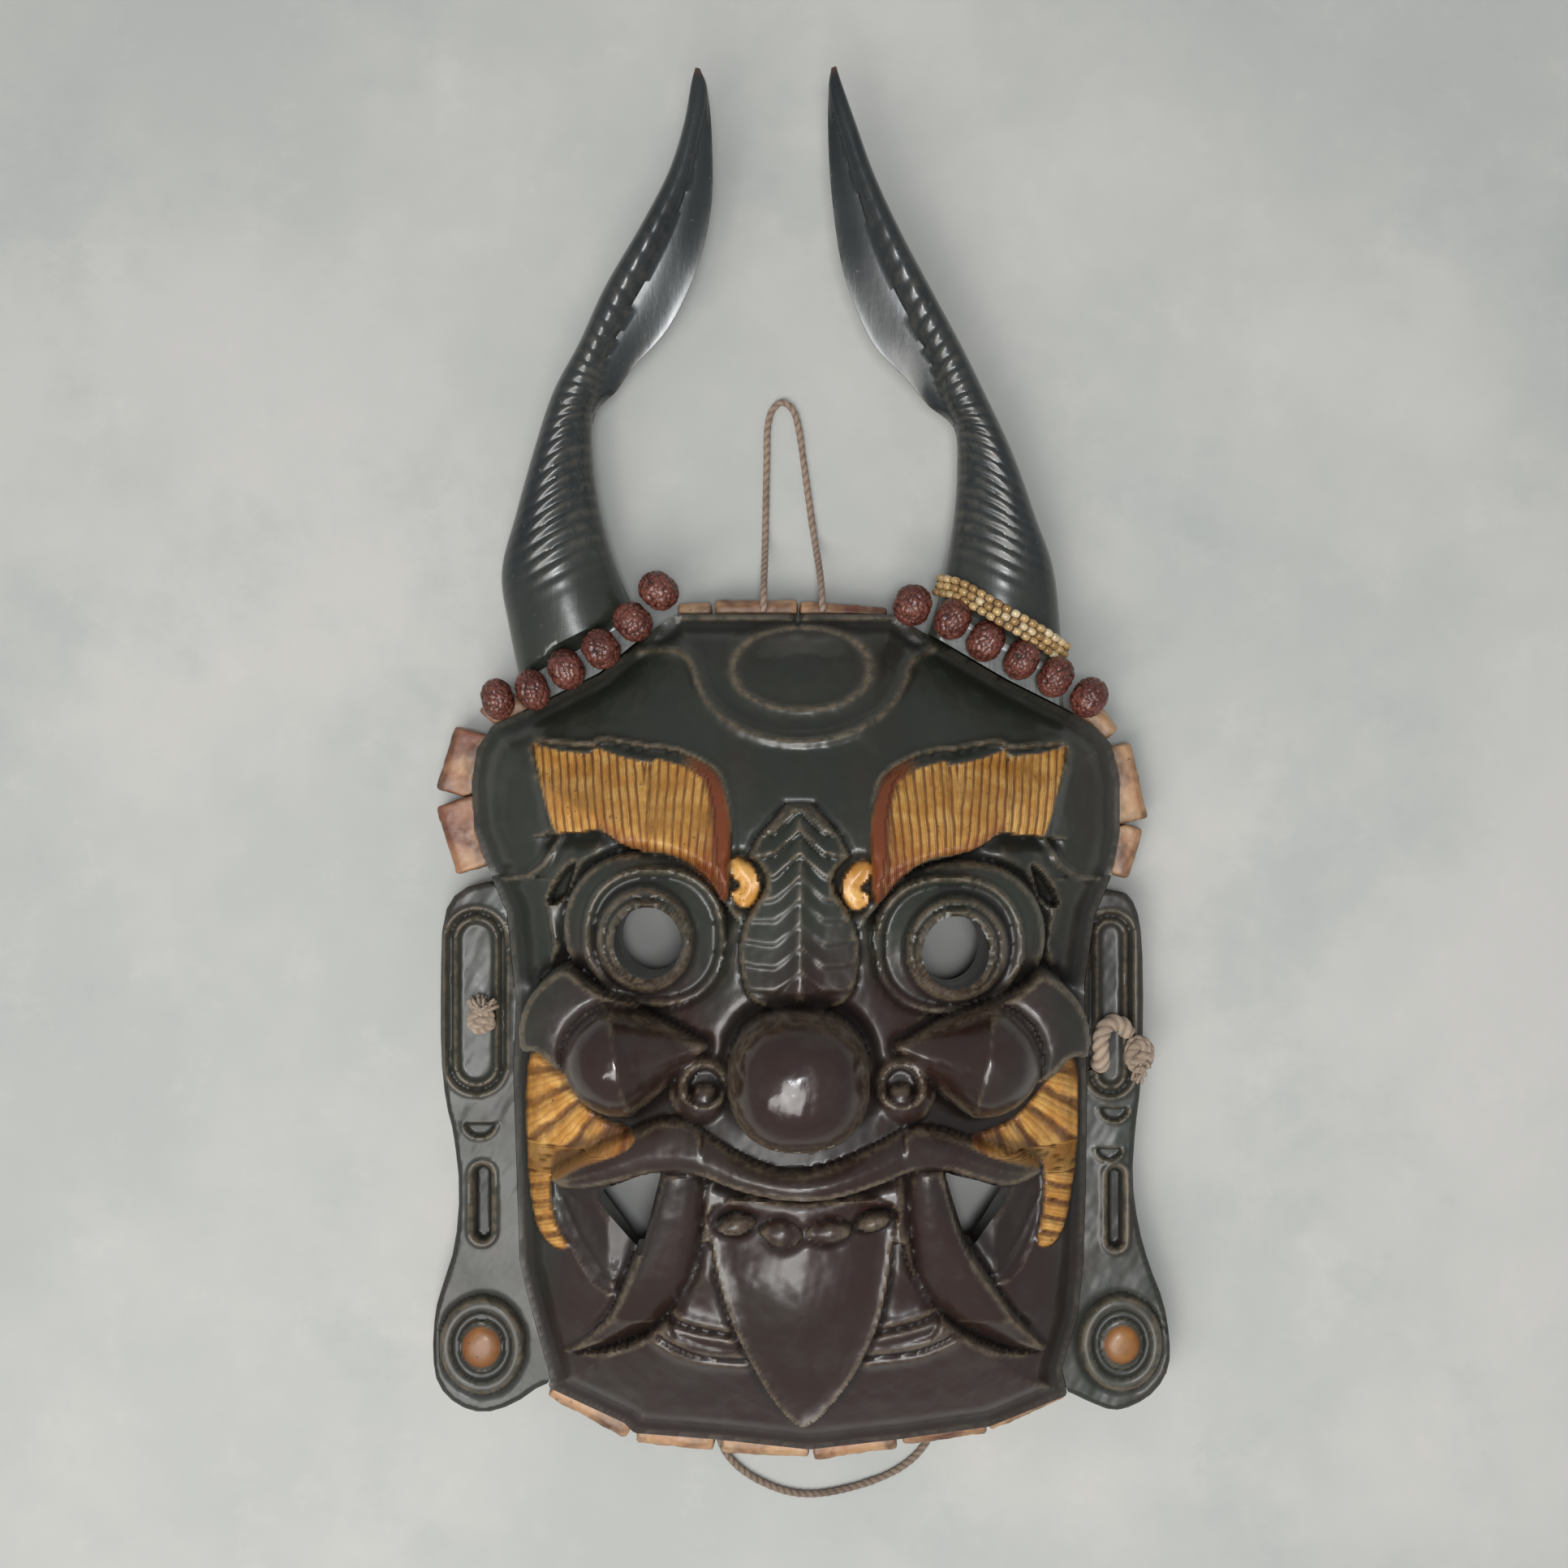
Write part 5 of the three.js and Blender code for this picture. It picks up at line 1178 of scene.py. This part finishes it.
# ---- horns ----
HORNS = {
    "left": [
        (-107, 22, -58, 54, 24, 18, 1), (-115, 61, -70.5, 80, 26, 17.5, 1), (-118, 84, -78, 104, 28, 16, 1),
        (-112, 107, -81.5, 126, 31, 13.5, 1), (-104.5, 132, -81, 145, 34, 11.5, 0.98),
        (-97, 153.5, -72, 155, 36.5, 10.5, 0.75), (-86.5, 172.5, -65.5, 163.5, 39, 9.5, 0.55),
        (-76.5, 193.5, -51.5, 179, 41, 8.5, 0.45), (-62.5, 216.5, -40.5, 201, 44, 7.5, 0.42),
        (-51.5, 237, -35, 224, 46, 6, 0.46), (-45.5, 255, -34.6, 248, 48, 4.5, 0.6),
        (-42.6, 270, -36.2, 267.5, 49.5, 2.6, 0.95), (-41, 276, -39, 275.5, 50, 0.8, 1),
    ],
    "right": [
        (104, 20, 49, 56, 24, 18, 1), (102, 62, 55.5, 80, 26, 17.5, 1), (99, 86, 59.5, 103, 28, 16, 1),
        (92, 105, 61, 124, 31, 13.5, 1), (83, 129, 59.5, 140.5, 34, 11.5, 0.98),
        (72.5, 151, 49.5, 149, 36.5, 10.5, 0.75), (62.5, 170.5, 40, 159.5, 39, 9.5, 0.55),
        (51.5, 190.5, 27, 173.5, 41, 8.5, 0.45), (38.5, 214, 16.5, 198, 44, 7.5, 0.42),
        (28, 236, 12, 224, 46, 6, 0.46), (20.5, 256, 10.2, 248, 48, 4.5, 0.6),
        (15, 271, 10.2, 268, 49.5, 2.6, 0.95), (13.2, 276.5, 11.2, 275.8, 50, 0.8, 1),
    ],
}
SEEDS = {
    "left": [(-118, 34), (-104.5, 37.5), (-91.5, 45.5), (-78, 53.5), (-65.5, 64), (-55.5, 76)],
    "right": [(43, 70.5), (58.5, 65), (71.5, 56.5), (85.5, 49.5), (98.5, 42.5), (111.5, 34.5)],
}
SEED_R, SEED_Z = 8.4, 41.0
SEED_ROOM = SEED_R + GAP  # kept clear round the row of seeds
SHELF = SEED_Z - SEED_ROOM


def spline(stations, t):
    """Evenly numbered stations joined by one smooth curve, at shares t of the whole."""
    p = np.asarray(stations, float)
    ext = np.vstack([2 * p[0] - p[1], p, 2 * p[-1] - p[-2]])
    f = np.clip(t, 0, 1) * (len(p) - 1)
    i = np.minimum(f.astype(int), len(p) - 2)
    f = (f - i)[:, None]
    a, b, c, d = ext[i], ext[i + 1], ext[i + 2], ext[i + 3]
    return 0.5 * (2 * b + (c - a) * f + (2 * a - 5 * b + 4 * c - d) * f**2 + (3 * b - a - 3 * c + d) * f**3)


def make_horn(name, stations):
    rings, sides = 260, 56
    t = np.linspace(0, 1, rings)
    st = spline(stations, t)
    a = np.linspace(0, 2 * np.pi, sides, endpoint=False)
    s = ((1 - np.cos(a)) / 2)[None, :]
    up = np.where(np.sin(a) >= -1e-9, 1.0, -1.0)[None, :]
    rib = st[:, 6:7]
    mid, thick = st[:, 4:5], st[:, 5:6]
    bladed = rib < 0.97
    # growth rings on the rib, from above the foot to the tip
    ribs = np.cumsum(1 / np.interp(t, [0, 0.2, 0.45, 0.8, 1], [5.5, 5.0, 6.0, 8.0, 8.0])) * 265 / rings
    skew = 0.5 * np.abs(2 * s / np.maximum(rib, 0.1) - 1) ** 2
    saw = ribs[:, None] + skew + 0.25 * np.sin(9 * t[:, None] + 4 * s)
    saw = saw - np.floor(saw)
    wave = smooth(0, 0.6, saw) * smooth(1.0, 0.75, saw)
    inner = smooth(0.18, 0.5, s / np.maximum(rib, 0.1))
    strong = (smooth(0.08, 0.17, t) * smooth(0.85, 0.5, t))[:, None] * (0.25 + 0.75 * inner)
    onrib = np.where(s < rib, 1 - np.abs(2 * s / rib - 1) ** 2.0, 0)
    full = thick * np.where(up > 0, 1.0, 0.85)
    bump = 1 - 0.065 * strong * (1 - wave)
    h_rib = np.where(s < rib, full * bump * np.sqrt(np.maximum(onrib, 0)), 0)
    blade_out = np.where(bladed, np.clip((s - rib) / np.maximum(1 - rib, 1e-3), 0, 1), 0)
    h_blade = np.where(bladed & (s >= rib / 2), 2.4 * (1 - 0.75 * blade_out) * thick / 9, 0)
    h = np.maximum(np.maximum(h_rib, h_blade), 0.05)
    h[:, 0] = 0
    h[:, sides // 2] = 0
    back = np.where(bladed, 2 * smooth(rib, 1, s), 0)
    x = st[:, 0:1] + (st[:, 2:3] - st[:, 0:1]) * s
    y = st[:, 1:2] + (st[:, 3:4] - st[:, 1:2]) * s
    z = mid + up * h - back
    # the foot stands against the face and under its row of seeds
    d, ex, ey = inside(OUTLINE, x, y)
    away = np.hypot(x - ex, y - ey) + 1e-6
    near = d > -GAP
    out = np.where(d > 0, -1, 1)
    x = np.where(near, ex + out * (x - ex) / away * GAP, x)
    y = np.where(near, ey + out * (y - ey) / away * GAP, y)
    dr = line_distance(SEEDS[name], x, y)[0]
    face_side = inside(OUTLINE, x, y)[0] > -12
    room = SEED_Z - np.sqrt(np.maximum(SEED_ROOM**2 - np.minimum(dr, SEED_ROOM) ** 2, 0))
    room = np.where(face_side, SHELF, np.maximum(room, SHELF))
    z = np.where((dr < SEED_ROOM) | (face_side & (dr < 16)), np.minimum(z, room), z)
    points = np.column_stack([x.ravel(), y.ravel(), z.ravel()])
    faces = tube_faces(rings, sides)
    if name == "right":
        faces = [f[::-1] for f in faces]
    caps = [tuple(range(sides)), tuple(range(rings * sides - 1, (rings - 1) * sides - 1, -1))]
    faces += caps if name == "left" else [c[::-1] for c in caps]
    wear = np.clip(strong * wave * (s < rib) * 0.7 + 0.8 * bell(s - 1, 0.05) * bladed, 0, 1)
    at = {"along": np.repeat(t, sides), "wear": (wear + 0 * x).ravel()}
    obj = build(f"horn_{name}_ribbed", points, faces, at, sharp=50)
    finish_piece(obj, horn_skin, "horn", f"horn_{name}")


horn_skin = horn_material()
for name, stations in HORNS.items():
    make_horn(name, stations)

# ---- rudraksha seeds ----
def make_seed(name, row, k):
    """One seed: five seams over a pitted skin, a dimple at each end of its string."""
    before, after = row[max(k - 1, 0)], row[min(k + 1, len(row) - 1)]
    turn = math.atan2(after[1] - before[1], after[0] - before[0])
    gap = min(math.dist(row[k], p) for p in (before, after) if p != row[k])
    squeeze = min(1.0, (gap / 2 - GAP) / SEED_R)
    bm = bmesh.new()
    bmesh.ops.create_icosphere(bm, subdivisions=5, radius=1.0)
    points, pits = [], []
    for v in bm.verts:
        n = v.co.normalized()
        cell = noise.voronoi(n * 3.1 + Vector((k * 7.3, len(name), 0)))[0]
        crack = min(1.0, (cell[1] - cell[0]) / 0.22)
        seam = abs(math.sin(2.5 * math.atan2(n.z, n.y) + k)) ** 0.35
        depth = 1 - 0.13 * (1 - crack**0.6) - 0.08 * (1 - seam)
        depth *= 1 - 0.16 * math.exp(-((1 - abs(n.x)) / 0.03))
        p = n * SEED_R * depth
        px, py = p.x * squeeze, p.y
        x = row[k][0] + px * math.cos(turn) - py * math.sin(turn)
        y = row[k][1] + px * math.sin(turn) + py * math.cos(turn)
        points.append((x, y, SEED_Z + p.z))
        pits.append(1 - min(crack, seam))
    faces = [tuple(v.index for v in f.verts) for f in bm.faces]
    bm.free()
    obj = build(f"seed_{name}_{k + 1}", points, faces, {"pit": pits})
    finish_piece(obj, seed_skin, "seed", f"bead_{name}_{k + 1}")


seed_skin = seed_material()
for name, row in SEEDS.items():
    for k in range(len(row)):
        make_seed(name, row, k)

# ---- strap of glass seed beads on the right horn ----
BAND = [
    (53.5, 79, 31), (61, 76.5, 38.8), (69, 71.5, 43), (78, 66, 44.8), (87, 61, 43.6), (96, 56, 39),
    (103, 52, 31.5),
]
STRAP = [(-4.1, -1.2), (-4.1, 1.2), (4.1, 1.2), (4.1, -1.2)]  # its section: across, out
BEAD = (2.1, 1.62, 2.0)  # half sizes of a glass bead along, across and out
BEAD_ROWS = (-2.9, 0.0, 2.9)
BEADS_A_ROW = 17


def glass_bead(centre, tangent, across, out, rings=12, sides=18):
    """The points of one bead, dimpled where its string goes through."""
    long, wide, high = BEAD
    points = []
    for v in range(rings + 1):
        lat = math.pi * v / rings
        hole = 1 - 0.35 * math.exp(-(min(lat, math.pi - lat) / 0.35) ** 2)
        for w in range(sides):
            lon = 2 * math.pi * w / sides
            q = tangent * math.cos(lat) * long * hole
            q = q + (across * math.cos(lon) * wide + out * math.sin(lon) * high) * math.sin(lat) ** 0.8
            points.append(centre + q)
    return points, tube_faces(rings + 1, sides)


def make_band():
    path, _ = resample(BAND, 1.0)
    last = len(path) - 1
    tangent = np.gradient(path, axis=0)
    tangent /= np.linalg.norm(tangent, axis=1)[:, None]
    out = np.array([0, 0, 1.0]) - tangent * tangent[:, 2:3]
    out /= np.linalg.norm(out, axis=1)[:, None]
    across = np.cross(tangent, out)
    verts = [p + c * a + o * b for p, o, c in zip(path, out, across) for a, b in STRAP]
    faces = [f[::-1] for f in tube_faces(len(path), 4)]
    faces += [(0, 1, 2, 3), tuple(4 * len(path) - 1 - i for i in range(4))]
    # the strap is painted near-black as shade under and between the beads
    tones, strap_shade = [0.0] * len(verts), [0.9] * len(verts)
    draw = np.random.default_rng(5)
    for r, offset in enumerate(BEAD_ROWS):
        for k in range(BEADS_A_ROW):
            f = (k + 0.5 + (r % 2) * 0.3) / (BEADS_A_ROW + 0.3) * last
            i = int(f)
            p = path[i] + (path[min(i + 1, last)] - path[i]) * (f - i)
            tone = draw.random()
            centre = p + across[i] * offset + out[i] * 1.3
            points, sides = glass_bead(centre, tangent[i], across[i], out[i])
            faces += [tuple(len(verts) + j for j in f) for f in sides]
            verts += points
            tones += [tone] * len(points)
            strap_shade += [0.0] * len(points)
    obj = build("glass_beads", verts, faces, {"tone": tones, "dirt_and_shade": strap_shade}, sharp=60)
    finish_piece(obj, glass_material(), "glass_beads", "seed_band")


make_band()

# ---- bone plates ----
PLATES = [f"{side}_{k}" for side in ("top", "right", "left") for k in (1, 2, 3)]
PLATES += [f"bottom_{k}" for k in range(1, 7)]
bone = bone_material()


def softened(obj):
    """The object's mesh, remeshed finely and smoothed."""
    remesh = obj.modifiers.new("remesh", "REMESH")
    remesh.mode = "VOXEL"
    remesh.voxel_size = 0.9 * MM
    remesh.use_smooth_shade = True
    smoothed = obj.modifiers.new("smooth", "SMOOTH")
    smoothed.factor = 0.5
    smoothed.iterations = 3
    me = bpy.data.meshes.new_from_object(obj.evaluated_get(bpy.context.evaluated_depsgraph_get()))
    obj.modifiers.clear()
    return me


def vertex_rows(me, key):
    rows = np.zeros(3 * len(me.vertices))
    me.vertices.foreach_get(key, rows)
    return rows.reshape(-1, 3)


def make_plate(k, plate):
    """A plate is its solid with softened edges, sawn unevenly, darker in random patches and with painted
    shade low down near the floor.
    """
    solid = bpy.data.objects[f"plate_{plate}"]
    obj = bpy.data.objects.new(f"bone_{plate}", solid.data.copy())
    obj.matrix_world = solid.matrix_world.copy()
    obj.data.materials.clear()
    bpy.context.scene.collection.objects.link(obj)
    obj.data = me = softened(obj)
    co, normals = vertex_rows(me, "co"), vertex_rows(me, "normal")
    broad = [noise.noise(Vector(p / MM * 0.13 + 5 * k)) for p in co]
    shift = np.array([a + 0.5 * noise.noise(Vector(p / MM * 0.42)) for a, p in zip(broad, co)])
    co = co + normals * (0.45 * shift[:, None] - 0.15) * MM
    me.vertices.foreach_set("co", co.ravel())
    # random darker patches from the noise, and painted shade below 14 mm near the floor
    dirt_and_shade = np.clip(0.25 + 0.8 * shift + 0.5 * smooth(14, 6, co[:, 2] / MM), 0, 1)
    me.attributes.new("dirt_and_shade", "FLOAT", "POINT").data.foreach_set("value", dirt_and_shade.astype(np.float32))
    finish_piece(obj, bone, "bone", f"plate_{plate}")


for k, plate in enumerate(PLATES):
    make_plate(k, plate)


# ---- rope ties in the ears ----
def join(parts):
    verts, faces, at, base = [], [], {}, 0
    for v, f, attributes in parts:
        verts.append(v)
        faces += [tuple(i + base for i in face) for face in f]
        base += len(v)
        for key, values in attributes.items():
            at.setdefault(key, []).append(values)
    return np.vstack(verts), faces, {k: np.concatenate(v) for k, v in at.items()}


def knot(centre, size, seed):
    """A small knot, pulled tight: three turns of rope through each other."""
    parts = []
    a = np.linspace(0, 2 * np.pi, 26)
    for tilt, phase in ((0.2, 0.0), (1.1, 1.3), (1.9, 2.6)):
        x, y = np.cos(a) * size[0] * 0.58, np.sin(a) * size[1] * 0.58
        z = 0.35 * size[2] * np.sin(2 * a + phase)
        c, s = math.cos(tilt), math.sin(tilt)
        spun = np.column_stack([x, y * c - z * s, (y * s + z * c) * (size[2] / max(size))])
        parts.append(rope(spun + centre, 2.3, 3, 9.0, 0.9, sides=16, seed=seed)[:3])
    return parts


def strand(start, reach, lift, seed):
    """One loose strand of a frayed end, bent upwards by the lift."""
    end = start + np.array(reach)
    bend = (start + end) / 2 + np.array([0, 0, lift])
    return rope([start, bend, end], 0.75, 2, 3, 0.8, sides=7, seed=seed)[:3]


def make_tie_left():
    hx, hy, hr = EARS["left"]["hole"]
    parts = knot(np.array([hx, hy - 0.5, 30.8]), (6.6, 6.4, 4.6), 3)
    stub = [(hx, hy, 8), (hx, hy, 18), (hx, hy, 29)]
    parts.append(rope(stub, hr - 0.4, 3, 10, 0.9, sides=16, seed=4)[:3])
    for k in range(34):
        a = math.pi * (0.08 + 0.84 * rng.random())
        far = 4.5 + 3.2 * rng.random()
        start = np.array([hx + 1.5 * rng.standard_normal(), hy + 2.5, 31 + 1.6 * rng.standard_normal()])
        reach = [far * math.cos(a) * 0.95, 1 + 0.8 * far * math.sin(a), 1.2 * rng.standard_normal()]
        parts.append(strand(start, reach, 1.0 + 0.6 * rng.random(), k))
    finish_piece(build("rope_knot_left", *join(parts)), KNOT, "jute", "tie_left")


def make_tie_right():
    hx, hy, _ = EARS["right"]["hole"]
    arch = [
        (hx, hy, 8), (hx, hy, 18), (hx, hy, 27), (hx - 0.3, hy + 4, 31), (hx - 0.5, hy + 11, 31.5),
        (hx + 2.5, hy + 16.5, 31.5), (hx + 7.5, hy + 16, 31.5), (hx + 11, hy + 11, 32),
    ]
    parts = [rope(arch, 3.4, 3, 12, 0.6, sides=26, lump=0.26, seed=6)[:3]]
    parts += knot(np.array([hx + 14.5, hy + 4.5, 32.3]), (6.6, 9.4, 5.8), 8)
    for k in range(46):
        a = -math.pi * (0.1 + 0.8 * rng.random())
        x = hx + 14.5 + 3 * rng.standard_normal() * 0.6
        y = hy + 2 + 2.5 * rng.standard_normal()
        start = np.array([x, y, 32.5 + 1.8 * rng.standard_normal()])
        reach = [3.2 * math.cos(a), 4.2 * math.sin(a), 1.4 * rng.standard_normal()]
        parts.append(strand(start, reach, 1.1 * rng.random(), k))
    finish_piece(build("rope_arch_right", *join(parts)), KNOT, "jute", "tie_right")


rng = np.random.default_rng(12)
make_tie_left()
make_tie_right()


# ---- floor and light ----
def area_light(name, location, target, size, power, color=(1, 1, 1)):
    data = bpy.data.lights.new(name, "AREA")
    data.shape = "RECTANGLE"
    data.size, data.size_y = size
    data.energy = power
    data.color = color
    obj = bpy.data.objects.new(name, data)
    obj.location = location
    obj.rotation_euler = (Vector(target) - Vector(location)).to_track_quat("-Z", "Y").to_euler()
    bpy.context.scene.collection.objects.link(obj)


FLOOR_HALF = 3000
FLOOR_DROP = -0.0002  # metres, just under what lies on it
corners = [(a * FLOOR_HALF, b * FLOOR_HALF, 0) for a, b in ((-1, -1), (1, -1), (1, 1), (-1, 1))]
floor = build("floor", corners, [(0, 1, 2, 3)], smooth=False)
floor.location.z = FLOOR_DROP
floor.data.materials.append(floor_material())

scene = bpy.context.scene
scene.view_settings.view_transform = "Standard"
world = bpy.data.worlds.new("studio")
world.use_nodes = True
world.node_tree.nodes["Background"].inputs[0].default_value = (0.93, 0.97, 1.0, 1.0)
world.node_tree.nodes["Background"].inputs[1].default_value = 0.33
scene.world = world
area_light("window_wide", (-0.16, -0.52, 1.25), (0, -0.08, 0.08), (0.52, 0.80), 9.0, (1.0, 0.98, 0.95))
area_light("window_narrow", (-0.58, -0.50, 1.22), (0, -0.08, 0.08), (0.22, 0.80), 4.0, (1.0, 0.98, 0.95))
area_light("overhead", (0.02, -0.05, 1.5), (0, 0, 0), (0.20, 0.20), 7.0, (0.95, 0.98, 1.0))
